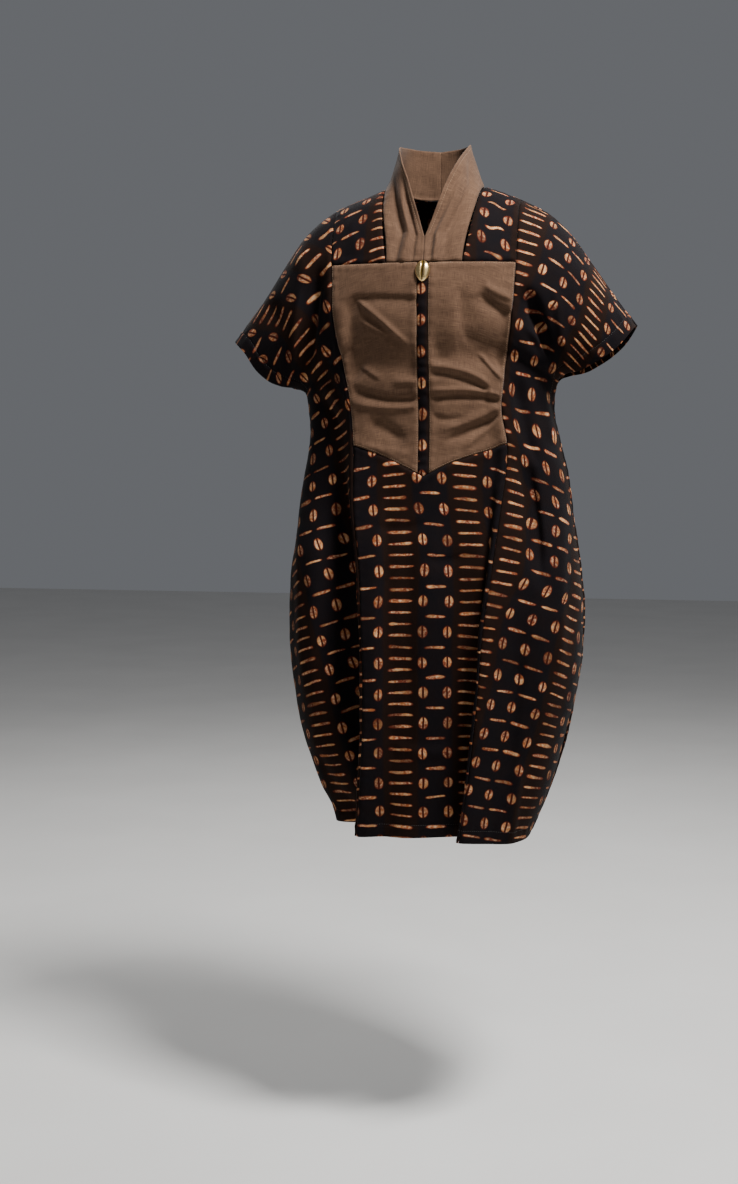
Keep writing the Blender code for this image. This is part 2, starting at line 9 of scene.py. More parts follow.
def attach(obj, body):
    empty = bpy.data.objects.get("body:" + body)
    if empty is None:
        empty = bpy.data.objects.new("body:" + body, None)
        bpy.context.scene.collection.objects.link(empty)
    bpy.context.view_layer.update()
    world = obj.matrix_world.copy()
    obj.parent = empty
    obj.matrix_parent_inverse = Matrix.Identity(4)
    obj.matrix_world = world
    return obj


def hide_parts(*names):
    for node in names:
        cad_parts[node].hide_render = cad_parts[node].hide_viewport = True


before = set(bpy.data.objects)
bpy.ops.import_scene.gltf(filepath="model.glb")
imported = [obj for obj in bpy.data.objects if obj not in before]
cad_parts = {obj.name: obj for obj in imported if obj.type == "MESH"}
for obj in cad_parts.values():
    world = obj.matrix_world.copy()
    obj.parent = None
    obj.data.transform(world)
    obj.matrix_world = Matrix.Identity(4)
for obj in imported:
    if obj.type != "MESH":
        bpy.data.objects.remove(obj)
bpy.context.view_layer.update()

# x runs across the dress, drop runs down from the neck's base, both in metres.
# Right and left are as worn: the right side is at -X, which is the left of the picture.

drapedForm = {
    "shoulderY": 0.010,
    "shoulderRound": 0.20,
    "shoulderEnd": 0.10,  # the rows lie closer together above this drop
    "hemDrop": 0.995,
    "sleeveMouth": 0.052,
    "sleeveHemFade": 0.02,
    "seamGap": 0.0003,
    "clothThickness": 0.0012,
    "leftHemDip": (0.009, 0.800, 0.050, 0.080),  # depth, start drop, start x, fade
    "edgeFade": 0.12,
    "overarm": [  # across, fall
        (0.000, 0.000), (0.075, 0.010), (0.140, 0.034), (0.180, 0.057), (0.205, 0.080),
        (0.237, 0.124), (0.268, 0.170), (0.300, 0.214), (0.330, 0.256),
    ],
    "sections": [  # drop, right half, left half, droop, front, back, right squareness, left squareness
        (0.000, 0.318, 0.306, 1.00, 0.128, 0.112, 2.10, 2.10),
        (0.050, 0.295, 0.288, 1.00, 0.128, 0.114, 2.00, 2.00),
        (0.104, 0.275, 0.264, 1.00, 0.128, 0.116, 1.90, 1.90),
        (0.184, 0.238, 0.224, 1.00, 0.130, 0.118, 1.70, 1.70),
        (0.236, 0.207, 0.191, 1.00, 0.129, 0.117, 1.40, 1.40),
        (0.300, 0.198, 0.184, 0.92, 0.121, 0.114, 1.10, 1.10),
        (0.340, 0.199, 0.194, 0.85, 0.114, 0.112, 1.00, 1.00),
        (0.393, 0.207, 0.206, 0.74, 0.113, 0.113, 0.92, 0.92),
        (0.468, 0.217, 0.217, 0.60, 0.121, 0.120, 0.86, 0.86),
        (0.586, 0.229, 0.232, 0.40, 0.138, 0.136, 0.84, 0.80),
        (0.657, 0.230, 0.232, 0.30, 0.143, 0.143, 0.84, 0.78),
        (0.765, 0.223, 0.222, 0.20, 0.143, 0.142, 0.84, 0.74),
        (0.849, 0.207, 0.205, 0.12, 0.139, 0.136, 0.84, 0.68),
        (0.895, 0.193, 0.193, 0.08, 0.136, 0.131, 0.84, 0.62),
        (0.938, 0.179, 0.178, 0.05, 0.133, 0.127, 0.84, 0.56),
        (0.995, 0.156, 0.156, 0.00, 0.129, 0.122, 0.84, 0.50),
    ],
    "longSeam": [  # drop, right seam, left seam, right fold, left fold
        (0.000, 0.151, 0.133, 0.000, 0.000), (0.094, 0.144, 0.135, 0.000, 0.000),
        (0.180, 0.140, 0.130, 0.002, 0.002), (0.270, 0.124, 0.119, 0.006, 0.005),
        (0.320, 0.115, 0.115, 0.009, 0.008), (0.383, 0.110, 0.124, 0.014, 0.012),
        (0.480, 0.106, 0.117, 0.024, 0.022), (0.570, 0.094, 0.107, 0.034, 0.030),
        (0.660, 0.088, 0.096, 0.042, 0.036), (0.780, 0.085, 0.087, 0.050, 0.042),
        (0.875, 0.089, 0.077, 0.055, 0.044), (0.995, 0.100, 0.060, 0.060, 0.046),
    ],
    "knifeFold": {
        "face": 0.036, "reach": 0.090, "rise": 0.050, "undercut": 0.008,
        "crest": 0.45, "valley": 0.55,  # shares of its depth
    },
    "softFoldEnds": 0.3,  # share of its length over which a soft fold fades
    "softFolds": [  # face, x start, drop start, x end, drop end, width, height
        ("front", -0.197, 0.236, -0.166, 0.070, 0.017, -0.014),
        ("front", 0.180, 0.228, 0.147, 0.125, 0.017, -0.014),
        ("front", -0.182, 0.400, -0.176, 0.900, 0.024, 0.010),
        ("front", 0.143, 0.350, 0.168, 0.580, 0.016, -0.012),
        ("front", 0.186, 0.420, 0.178, 0.880, 0.024, 0.007),
        ("back", -0.195, 0.236, -0.160, 0.080, 0.018, -0.013),
        ("back", 0.182, 0.236, 0.150, 0.080, 0.018, -0.013),
        ("back", -0.062, 0.360, -0.082, 1.050, 0.026, 0.012),
        ("back", -0.112, 0.400, -0.128, 1.050, 0.020, -0.012),
        ("back", 0.020, 0.420, 0.026, 1.050, 0.024, -0.010),
        ("back", 0.078, 0.340, 0.094, 1.050, 0.026, 0.013),
        ("back", 0.130, 0.420, 0.138, 1.050, 0.018, -0.010),
    ],
}
gap = drapedForm["seamGap"]
outwards = {"front": np.array([0.0, -1.0, 0.0]), "back": np.array([0.0, 1.0, 0.0])}


def throughTable(table, column):
    # a smooth line through one column of a table, keyed by its first
    knots = np.array([row[0] for row in table])
    values = np.array([row[column] for row in table])
    step = np.diff(knots)
    rise = np.diff(values) / step
    between = (rise[:-1] * step[1:] + rise[1:] * step[:-1]) / (step[:-1] + step[1:])
    slope = np.concatenate([rise[:1], between, rise[-1:]])

    def at(place):
        place = np.clip(place, knots[0], knots[-1])
        i = np.clip(np.searchsorted(knots, place, side="right") - 1, 0, len(step) - 1)
        t = (place - knots[i]) / step[i]
        low = values[i] * (1 + 2 * t) * (1 - t) ** 2 + slope[i] * step[i] * t * (1 - t) ** 2
        return low + values[i + 1] * t**2 * (3 - 2 * t) + slope[i + 1] * step[i] * t**2 * (t - 1)

    return at


def ease(t):
    t = np.clip(t, 0.0, 1.0)
    return t * t * (3 - 2 * t)


overarmFall = throughTable(drapedForm["overarm"], 1)
rightHalf, leftHalf, droopShare, frontReach, backReach, rightSquareness, leftSquareness = [
    throughTable(drapedForm["sections"], column) for column in range(1, 8)
]
rightSeam, leftSeam, rightFold, leftFold = [
    throughTable(drapedForm["longSeam"], column) for column in range(1, 5)
]
underarmDrop = drapedForm["sections"][4][0]
sides = {"right": (rightSeam, rightHalf, -1.0), "left": (leftSeam, leftHalf, 1.0)}  # seam, outline, sign of x


def knifeFold(x, seam, depth):
    # a pleat that lies over towards -X, its crest on the seam
    size = drapedForm["knifeFold"]
    s = seam - x
    turned = ease(s / size["face"])
    backAgain = ease((s - size["face"]) / (size["reach"] - size["face"]))
    strength = depth / drapedForm["longSeam"][-1][3]
    across = (size["face"] + size["undercut"]) * turned * (1 - backAgain) * strength
    crest, valley = size["crest"] * depth, -size["valley"] * depth
    forward = np.where(s < 0, crest * ease(1 + s / size["rise"]), crest + (valley - crest) * turned)
    return across, np.where(s > size["face"], valley * (1 - backAgain), forward)


def softFoldHeight(face, x, drop):
    height, ends = np.zeros(np.shape(x)), drapedForm["softFoldEnds"]
    for foldFace, x0, drop0, x1, drop1, width, rise in drapedForm["softFolds"]:
        if foldFace == face:
            length = math.hypot(x1 - x0, drop1 - drop0)
            alongX, alongDrop = (x1 - x0) / length, (drop1 - drop0) / length
            along = ((x - x0) * alongX + (drop - drop0) * alongDrop) / length
            aside = (x - x0) * alongDrop - (drop - drop0) * alongX
            faded = rise * ease(along / ends) * ease((1 - along) / ends)
            height = height + faded * np.exp(-((aside / width) ** 2))
    return height


def formPoints(face, x, drop):
    # places on the draped form, the same one that the CAD pieces lie on
    x, drop = np.asarray(x, dtype=float), np.asarray(drop, dtype=float)
    half = np.where(x < 0, rightHalf(drop), leftHalf(drop))
    share = np.clip(np.abs(x) / half, 0.0, 1.0)
    level = np.sqrt(1 - share**2) ** np.where(x < 0, rightSquareness(drop), leftSquareness(drop))
    roundTop = np.sqrt(1 - (1 - np.clip(drop / drapedForm["shoulderRound"], 0.0, 1.0)) ** 2)
    alongHem = np.clip(drop / underarmDrop, 0.0, 1.0)
    mouth = drapedForm["sleeveMouth"] * 2 * np.sqrt(alongHem * (1 - alongHem))
    reach = frontReach(drop) if face == "front" else backReach(drop)
    depth = reach * roundTop * level + mouth * (1 - level)
    edgeFade = ease((1 - share) / drapedForm["edgeFade"]) * roundTop
    depth = depth + softFoldHeight(face, x, drop) * edgeFade
    movedX = x
    if face == "front":
        acrossRight, forwardRight = knifeFold(x, -rightSeam(drop), rightFold(drop))
        acrossLeft, forwardLeft = knifeFold(x, leftSeam(drop), leftFold(drop))
        movedX = x + (acrossRight + acrossLeft) * edgeFade
        depth = depth + (forwardRight + forwardLeft) * edgeFade
    dipDepth, dipDrop, dipX, dipFade = drapedForm["leftHemDip"]
    dip = dipDepth * ease((drop - dipDrop) / (drapedForm["hemDrop"] - dipDrop)) * ease((x - dipX) / dipFade)
    y = drapedForm["shoulderY"] + outwards[face][1] * (gap / 2 + depth)
    return np.stack([movedX, y, -drop - droopShare(drop) * overarmFall(np.abs(x)) - dip], axis=-1)


def gridNormals(points, outward):
    # normals of a grid of points, turned to the side that outward points to
    normals = np.cross(np.gradient(points, axis=0), np.gradient(points, axis=1))
    normals /= np.maximum(np.linalg.norm(normals, axis=-1, keepdims=True), 1e-12)
    middle = normals[normals.shape[0] // 2, normals.shape[1] // 2]
    return normals if np.dot(middle, outward) > 0 else -normals


def runLength(points, axis):
    # distance run along the grid's rows (axis 1) or columns (axis 0)
    steps = np.linalg.norm(np.diff(points, axis=axis), axis=-1)
    start = np.zeros_like(np.take(steps, [0], axis=axis))
    return np.concatenate([start, np.cumsum(steps, axis=axis)], axis=axis)


def readRows(place, runs, rows):
    # the point at one place on each row of a grid
    sought = zip(np.broadcast_to(place, len(rows)), runs, rows)
    return np.array([[np.interp(s, run, row[:, k]) for k in range(3)] for s, run, row in sought])


def distanceToPath(u, v, corners):
    # nearest distance to a bent line, which side of it, and how far along it (0 to 1)
    first, middle, last = np.reshape(corners, (3, 2)) / 1000.0
    t = np.linspace(0, 1, 9)[:, None]
    bend = 2 * middle - (first + last) / 2  # so the line goes through the middle place
    path = first * (1 - t) ** 2 + bend * 2 * t * (1 - t) + last * t**2
    lengths = np.concatenate([[0], np.cumsum(np.linalg.norm(np.diff(path, axis=0), axis=1))])
    best = np.full(np.shape(u), 1e9)
    side, along = np.zeros(np.shape(u)), np.zeros(np.shape(u))
    for a, b, start, end in zip(path[:-1], path[1:], lengths[:-1], lengths[1:]):
        d = b - a
        t = np.clip(((u - a[0]) * d[0] + (v - a[1]) * d[1]) / (d @ d), 0, 1)
        du, dv = u - a[0] - t * d[0], v - a[1] - t * d[1]
        distance = np.hypot(du, dv)
        nearer = distance < best
        best = np.where(nearer, distance, best)
        side = np.where(nearer, np.sign(du * d[1] - dv * d[0]), side)
        along = np.where(nearer, (start + t * (end - start)) / lengths[-1], along)
    return best, side, along


creaseOverrun = 0.02  # share of its length that a crease runs on past its ends


def creaseHeight(u, v, creases):
    # each crease in mm: three places on its line, height, width on its two sides, then the share that fades
    height = np.zeros(np.shape(u))
    for *corners, rise, widthOne, widthOther, fade in creases:
        distance, side, along = distanceToPath(u, v, corners)
        width = np.where(side > 0, widthOne, widthOther) / 1000.0
        ends = ease((along + creaseOverrun) / fade) * ease((1 + creaseOverrun - along) / fade)
        height += rise / 1000.0 * ends * np.exp(-((distance / width) ** 2))
    return height


lumpWaves = {
    "count": 6,
    "turn": 2.399,  # the golden angle, so that no two waves run the same way
    "finest": (0.75, 0.17),  # waves per lump in the first, and how many more in each after it
    "shift": 1.9,
    "seedTurn": 1.7,
    "seedShift": 5.1,
    "height": 3.6,
    "smaller": (0.37, 0.35, 3),  # the second lumps on cut pieces: share of size, share of height, seed step
}


def unevenness(u, v, size, seed):
    # gentle lumps about that size in metres, between -1 and 1
    p, total = lumpWaves, np.zeros(np.shape(u))
    first, more = p["finest"]
    for i in range(p["count"]):
        angle = seed * p["seedTurn"] + i * p["turn"]
        scale = 2 * math.pi / size * (first + more * i)
        place = u * math.cos(angle) + v * math.sin(angle)
        total += np.sin(place * scale + seed * p["seedShift"] + i * p["shift"])
    return total / p["height"]


seamFinish = {
    "dip": 0.0011,  # a sewn seam sinks
    "dipWidth": 0.0016,
    "puff": 0.0007,  # the turnings under the cloth lift it beside the seam
    "puffAt": 0.0065,
    "puffWidth": 0.0045,
    "pucker": 0.0005,
    "puckerLength": 0.016,
    "puckerReach": 0.010,
    "puckerStart": 0.002,
    "puckerDrift": (2.2, 41.0),  # puckers come at uneven distances
    "hemDepth": 0.020,
    "hemLift": 0.0006,
    "hemEdge": 0.003,
    "hemStitchDip": 0.0006,
    "creaseShare": 0.35,  # creases flatten towards a seam
    "creaseFade": 0.009,
}


def edgeHeight(distance, along, kind):
    # relief beside an edge: kind is 0 for a seam and 1 for a turned hem
    p, reach = seamFinish, seamFinish["puckerReach"]
    drift, driftTurn = p["puckerDrift"]
    seam = -p["dip"] * np.exp(-((distance / p["dipWidth"]) ** 2))
    seam = seam + p["puff"] * np.exp(-(((distance - p["puffAt"]) / p["puffWidth"]) ** 2))
    wave = p["pucker"] * np.sin(along * 2 * math.pi / p["puckerLength"] + drift * np.sin(along * driftTurn))
    seam = seam + wave * np.exp(-distance / reach) * (1 - np.exp(-distance / p["puckerStart"]))
    fromStitch = distance - p["hemDepth"]
    hem = p["hemLift"] * ease(-fromStitch / p["hemEdge"])
    hem = hem - p["hemStitchDip"] * np.exp(-((fromStitch / p["dipWidth"]) ** 2))
    hem = hem + wave * np.exp(-((fromStitch / reach) ** 2))
    return seam * (1 - kind) + hem * kind


def hexColour(code):
    # sRGB hex to the linear values that Blender works with
    parts = [int(code[i:i + 2], 16) / 255 for i in (1, 3, 5)]
    return tuple(p / 12.92 if p <= 0.04045 else ((p + 0.055) / 1.055) ** 2.4 for p in parts) + (1.0,)


def addNode(tree, kind, links=(), **settings):
    # adds a node, sets it and fills its sockets, in order or by name, with values, nodes or other sockets
    node = tree.nodes.new("ShaderNode" + kind)
    for name, value in settings.items():
        setattr(node, name, value)
    for socket, source in links.items() if isinstance(links, dict) else enumerate(links):
        if isinstance(source, bpy.types.Node):
            source = source.outputs[0]
        if isinstance(source, bpy.types.NodeSocket):
            tree.links.new(source, node.inputs[socket])
        else:
            node.inputs[socket].default_value = source
    return node


def startMaterial(name):
    made = bpy.data.materials.new(name)
    made.use_nodes = True
    made.node_tree.nodes.clear()
    return made, partial(addNode, made.node_tree)


bandScale = 0.314  # a wave texture repeats every 0.314 / scale

# Dyed and printed cotton, plain woven and calendered: matt, with a faint sheen where it turns away
printedCotton = {
    "repeat": 252.0,  # mm, two ladders, a pair and a triple of cowries
    "pairCentre": 53.5,
    "fromPair": {"ladder": 53.5, "pairCowrie": 19.0, "tripleCowrie": 88.0, "tripleBar": 107.0},
    "rowPitch": 46.0,
    "barPitch": 17.25,
    "ladderBar": (18.0, 2.6, 3.2),  # half length and half height in mm, bluntness
    "shortBar": (14.8, 2.7, 3.0),
    "cowrie": (7.1, 8.8, 1.0),
    "cowrieEdge": 2.6,  # makes its outline as crisp as the bars'
    "slit": 1.7,
    "slitEdge": (0.55, 1.35),  # shares of the slit between which it ends
    "stroke": (0.78, 1.75),  # the bars are drawn thick and thin
    "wobble": (0.019, 6.5, 1.0),  # print lines wander: patches per mm, reach in mm, detail
    "tremble": (0.21, 1.3, 2.0),
    "patches": {  # per mm, detail
        "stroke": (0.03, 1.0), "weakDye": (0.022, 2.0), "ground": (0.035, 3.0), "ink": (0.055, 2.0),
        "streak": (0.24, 3.0),
    },
    "rumple": 0.09,  # per mm
    "inkEdge": (1.08, 0.86),  # shares of a motif's size, as the next three
    "haloEdge": (1.50, 0.95),
    "paleInside": (0.95, 0.50),
    "darkRim": (0.62, 0.96),
    "blueBlack": "#06070d",
    "brownBlack": "#170a05",
    "brownReach": (31.0, 21.0),  # mm from a ladder's middle, where the ground turns browner
    "halo": "#3c140a",
    "orange": "#9b5930",
    "golden": "#ba8655",
    "reddish": "#713523",
    "pale": "#d9b08a",
    "roughness": 0.85,
    "inkRoughness": 0.88,
    "specular": 0.08,
    "sheen": 0.015,
    "faintest": 0.30,
    "threadPitch": 1.1,  # mm; the real 0.33 mm is too fine to show, so it is drawn coarser
    "threadShade": (0.86, 1.06),
    "relief": (0.45, 0.0003),  # strength, depth in metres
}


def makePrintedCotton():
    p = printedCotton
    made, add = startMaterial("printedCottonPlainWoven")
    soft = {"interpolation_type": "SMOOTHSTEP"}
    uv = add("UVMap", uv_map="clothPlan")
    plan = add("VectorMath", [uv, (1000.0, 1000.0, 1000.0)], operation="MULTIPLY")  # mm
    patches = {
        name: add("TexNoise", {"Vector": plan, "Scale": scale, "Detail": detail})
        for name, (scale, detail) in p["patches"].items()
    }
    moved = plan
    for scale, reach, detail in (p["wobble"], p["tremble"]):
        noise = add("TexNoise", {"Vector": plan, "Scale": scale, "Detail": detail})
        reaches = [noise.outputs["Color"], (reach, reach, 0.0), (-reach / 2, -reach / 2, 0.0)]
        shift = add("VectorMath", reaches, operation="MULTIPLY_ADD")
        moved = add("VectorMath", [moved, shift], operation="ADD")
    chart = add("SeparateXYZ", [moved])
    # across the cloth: 0 at the middle of a pair, 126 at the middle of a triple
    fromPair = add("Math", [chart.outputs["X"], p["pairCentre"]], operation="SUBTRACT")
    fromPair = add("Math", [fromPair, p["repeat"] / 2], operation="PINGPONG")
    away = {}
    for column, place in p["fromPair"].items():
        offset = add("Math", [fromPair, place], operation="SUBTRACT")
        away[column] = add("Math", [offset], operation="ABSOLUTE")
    toMiddle = add("Math", [p["repeat"] / 2, fromPair], operation="SUBTRACT")
    toCowrie = add("Math", [away["pairCowrie"], away["tripleCowrie"]], operation="MINIMUM")
    toCowrie = add("Math", [toCowrie, toMiddle], operation="MINIMUM")
    toShortBar = add("Math", [fromPair, away["tripleBar"]], operation="MINIMUM")
    # down the cloth
    toRow = add("Math", [chart.outputs["Y"], p["rowPitch"] / 2], operation="PINGPONG")
    toBetween = add("Math", [p["rowPitch"] / 2, toRow], operation="SUBTRACT")
    toRung = add("Math", [chart.outputs["Y"], p["barPitch"] / 2], operation="PINGPONG")
    # each motif's own size: 1 on its outline, less inside
    stroke = add("MapRange", [patches["stroke"], 0.30, 0.70, *p["stroke"]])
    outlines = []
    for across, down, shape in (
        (away["ladder"], toRung, "ladderBar"), (toShortBar, toBetween, "shortBar"), (toCowrie, toRow, "cowrie"),
    ):
        halfLength, halfHeight, blunt = p[shape]
        share = add("Math", [across, halfLength], operation="DIVIDE")
        share = add("Math", [share, blunt], operation="POWER")
        height = add("Math", [down, halfHeight], operation="DIVIDE")
        if blunt > 1:
            height = add("Math", [height, stroke], operation="MULTIPLY")
        place = add("CombineXYZ", [share, height])
        outlines.append(add("VectorMath", [place], operation="LENGTH").outputs["Value"])
    shell = add("Math", [outlines[2], p["cowrieEdge"], 1 - p["cowrieEdge"]], operation="MULTIPLY_ADD")
    slit = add("MapRange", [toCowrie, *[p["slit"] * share for share in p["slitEdge"]], 1.6, 0.0], **soft)
    cowrie = add("Math", [shell, slit], operation="MAXIMUM")
    bars = add("Math", [outlines[0], outlines[1]], operation="MINIMUM")
    motif = add("Math", [bars, cowrie], operation="MINIMUM")
    anyMotif = add("Math", [bars, shell], operation="MINIMUM")
    inkEdge = add("MapRange", [motif, *p["inkEdge"], 0.0, 1.0], **soft)
    thin = add("MapRange", [patches["weakDye"], 0.36, 0.60, p["faintest"], 1.0])
    inkEdge = add("Math", [inkEdge, thin], operation="MULTIPLY")  # some motifs took the dye weakly
    haloEdge = add("MapRange", [anyMotif, *p["haloEdge"], 0.0, 0.9], **soft)
    # colours: the ground is browner round the ladders, and the ink is uneven
    nearLadder = add("MapRange", [away["ladder"], *p["brownReach"], 0.0, 0.95], **soft)
    browner = add("Math", [patches["ground"], 0.7, nearLadder], operation="MULTIPLY_ADD")
    inks = {name: hexColour(value) for name, value in p.items() if str(value).startswith("#")}
    ground = add("Mix", {0: browner, 6: inks["blueBlack"], 7: inks["brownBlack"]}, data_type="RGBA")
    haloed = add("Mix", {0: haloEdge, 6: ground.outputs[2], 7: inks["halo"]}, data_type="RGBA")
    ink = add("ValToRGB", [patches["ink"]])
    ramp = ink.color_ramp.elements
    ramp[0].position, ramp[0].color = 0.38, inks["reddish"]
    ramp[1].position, ramp[1].color = 0.62, inks["golden"]
    ramp.new(0.50).color = inks["orange"]
    lighten = add("MapRange", [patches["streak"], 0.42, 0.68, 0.0, 0.85])
    inside = add("MapRange", [motif, *p["paleInside"], 0.0, 1.0], **soft)
    lighten = add("Math", [lighten, inside], operation="MULTIPLY")  # the dye is palest inside a motif
    inked = add("Mix", {0: lighten, 6: ink, 7: inks["pale"]}, data_type="RGBA")
    rim = add("MapRange", [motif, *p["darkRim"], 0.0, 0.75])
    inked = add("Mix", {0: rim, 6: inked.outputs[2], 7: inks["reddish"]}, data_type="RGBA")
    colour = add("Mix", {0: inkEdge, 6: haloed.outputs[2], 7: inked.outputs[2]}, data_type="RGBA")
    # plain weave: warp and weft as two crossed waves
    threads = {"Vector": plan, "Scale": bandScale / p["threadPitch"], "Distortion": 0.6, "Detail": 1.0}
    warp, weft = [add("TexWave", threads, bands_direction=way).outputs["Fac"] for way in "XY"]
    weave = add("Math", [warp, weft], operation="MULTIPLY")
    threadShade = add("MapRange", [weave, 0.0, 1.0, *p["threadShade"]])
    shaded = add("VectorMath", {0: colour.outputs[2], 3: threadShade}, operation="SCALE")
    rumple = add("TexNoise", {"Vector": plan, "Scale": p["rumple"], "Detail": 4.0, "Roughness": 0.6})
    relief = add("Math", [rumple, 2.2, weave], operation="MULTIPLY_ADD")
    bump = add("Bump", {"Height": relief, "Strength": p["relief"][0], "Distance": p["relief"][1]})
    dull = add("MapRange", [inkEdge, 0.0, 1.0, p["roughness"], p["inkRoughness"]])
    surface = add("BsdfPrincipled", {
        "Base Color": shaded, "Roughness": dull, "Normal": bump, "IOR": 1.5,
        "Specular IOR Level": p["specular"], "Sheen Weight": p["sheen"], "Sheen Roughness": 0.45,
    })
    add("OutputMaterial", {"Surface": surface})
    return made


# Piece-dyed linen, plain woven from slubby yarn: matt, with short thick threads both ways
brownLinen = {
    "light": "#684e3b",
    "dark": "#3c281b",
    "slub": "#80634b",
    "roughness": 0.84,
    "specular": 0.16,
    "sheen": 0.05,
    "threadPitch": 1.3,  # mm; the real 0.6 mm is too fine to show, so it is drawn coarser
    "yarns": ((1.5, 0.07, 0.0), (0.05, 1.5, 0.0)),  # warp and weft: thickness and run per mm
    "weftShare": 1.25,
    "toneRange": (0.70, 1.55),
    "slubRange": (0.64, 0.80),
    "fading": (0.02, 0.5),  # patches per mm, strength
    "ribShare": 0.35,
    "relief": (0.5, 0.0004),  # strength, depth in metres
}


def makeBrownLinen():
    p = brownLinen
    made, add = startMaterial("brownLinenPlainWoven")
    uv = add("UVMap", uv_map="clothPlan")
    plan = add("VectorMath", [uv, (1000.0, 1000.0, 1000.0)], operation="MULTIPLY")  # mm
    yarns = []
    for stretch in p["yarns"]:
        drawnOut = add("VectorMath", [plan, stretch], operation="MULTIPLY")
        yarns.append(add("TexNoise", {"Vector": drawnOut, "Scale": 1.0, "Detail": 2.0}))
    warp, weft = yarns
    threads = add("Math", [weft, p["weftShare"], warp], operation="MULTIPLY_ADD")
    tone = add("MapRange", [threads, *p["toneRange"], 0.0, 1.0])
    patches, strength = p["fading"]
    faded = add("TexNoise", {"Vector": plan, "Scale": patches, "Detail": 3.0})
    toned = add("Math", [faded, strength, tone], operation="MULTIPLY_ADD")
    toned = add("Math", [toned, strength / 2], operation="SUBTRACT")
    base = add("Mix", {0: toned, 6: hexColour(p["dark"]), 7: hexColour(p["light"])}, data_type="RGBA")
    slubs = add("MapRange", [weft, *p["slubRange"], 0.0, 0.5])
    colour = add("Mix", {0: slubs, 6: base.outputs[2], 7: hexColour(p["slub"])}, data_type="RGBA")
    ribbing = {"Vector": plan, "Scale": bandScale / p["threadPitch"], "Distortion": 1.0, "Detail": 1.0}
    ribs = add("TexWave", ribbing, bands_direction="Y")
    grain = add("Math", [ribs.outputs["Fac"], p["ribShare"], threads], operation="MULTIPLY_ADD")
    bump = add("Bump", {"Height": grain, "Strength": p["relief"][0], "Distance": p["relief"][1]})
    surface = add("BsdfPrincipled", {
        "Base Color": colour.outputs[2], "Roughness": p["roughness"], "Normal": bump, "IOR": 1.5,
        "Specular IOR Level": p["specular"], "Sheen Weight": p["sheen"], "Sheen Roughness": 0.5,
    })
    add("OutputMaterial", {"Surface": surface})
    return made


# Cast brass, gilded and tumbled: bright on the lobes, mottled with brown stains, and darkened with painted shade in
# the slit, the hollow at the top and between the lip's teeth
giltBrass = {
    "bright": "#f0d094",
    "tarnishAndShade": "#43320f",
    "roughness": 0.27,
    "dullRoughness": 0.6,
    "stains": (420.0, 0.55),  # per metre, strength
    "worn": (0.45, 0.95),
    "relief": (0.3, 0.0002),
}


def makeGiltBrass():
    p = giltBrass
    made, add = startMaterial("giltCastBrass")
    # the value stored on the mesh is lower where shade is painted: in the slit, the hollow at the top and between
    # the lip's teeth
    litShareAttribute = add("Attribute", attribute_name="polishAndShade")
    mottle = add("TexCoord")
    stain = add("TexNoise", {"Vector": mottle.outputs["Object"], "Scale": p["stains"][0], "Detail": 3.0})
    worn = add("Math", [stain, p["stains"][1], litShareAttribute.outputs["Fac"]], operation="MULTIPLY_ADD")
    worn = add("MapRange", [worn, *p["worn"], 0.0, 1.0], interpolation_type="SMOOTHSTEP")
    # the dark colour stands for brown stains and for painted shade in the recesses
    colour = add("Mix", {0: worn, 6: hexColour(p["tarnishAndShade"]), 7: hexColour(p["bright"])}, data_type="RGBA")
    rough = add("MapRange", [worn, 0.0, 1.0, p["dullRoughness"], p["roughness"]])
    bump = add("Bump", {"Height": stain, "Strength": p["relief"][0], "Distance": p["relief"][1]})
    finish = {"Base Color": colour.outputs[2], "Metallic": 1.0, "Roughness": rough, "Normal": bump}
    add("OutputMaterial", {"Surface": add("BsdfPrincipled", finish)})
    return made


# Spun polyester sewing thread: slightly glossy, with a fine twist
spunThread = {
    "brown": "#8c6f54",
    "black": "#1b1612",
    "roughness": 0.55,
    "twist": 900.0,  # per metre
    "shade": (0.7, 1.15),
    "relief": (0.4, 0.0001),
}


def makeThread(dye):
    p = spunThread
    made, add = startMaterial(dye + "PolyesterThread")
    place = add("TexCoord")
    twist = add("TexNoise", {"Vector": place.outputs["Object"], "Scale": p["twist"], "Detail": 2.0})
    shade = add("MapRange", [twist, 0.3, 0.7, *p["shade"]])
    colour = add("VectorMath", {0: hexColour(p[dye])[:3], 3: shade}, operation="SCALE")
    bump = add("Bump", {"Height": twist, "Strength": p["relief"][0], "Distance": p["relief"][1]})
    finish = {"Base Color": colour, "Roughness": p["roughness"], "Normal": bump, "IOR": 1.53}
    add("OutputMaterial", {"Surface": add("BsdfPrincipled", finish)})
    return made


printed = (makePrintedCotton(), "printed_cotton")  # material, slot
plain = (makeBrownLinen(), "brown_linen")
gilt = (makeGiltBrass(), "gilt_brass")
brownThread = makeThread("brown")
blackThread = makeThread("black")
print("materials made")


def placeMesh(name, mesh, surface):
    mesh.materials.append(surface)
    mesh.shade_smooth()
    piece = bpy.data.objects.new(name, mesh)
    bpy.context.scene.collection.objects.link(piece)
    return piece


def finishPiece(piece, node, slot):
    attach(piece, "root")
    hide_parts(node)


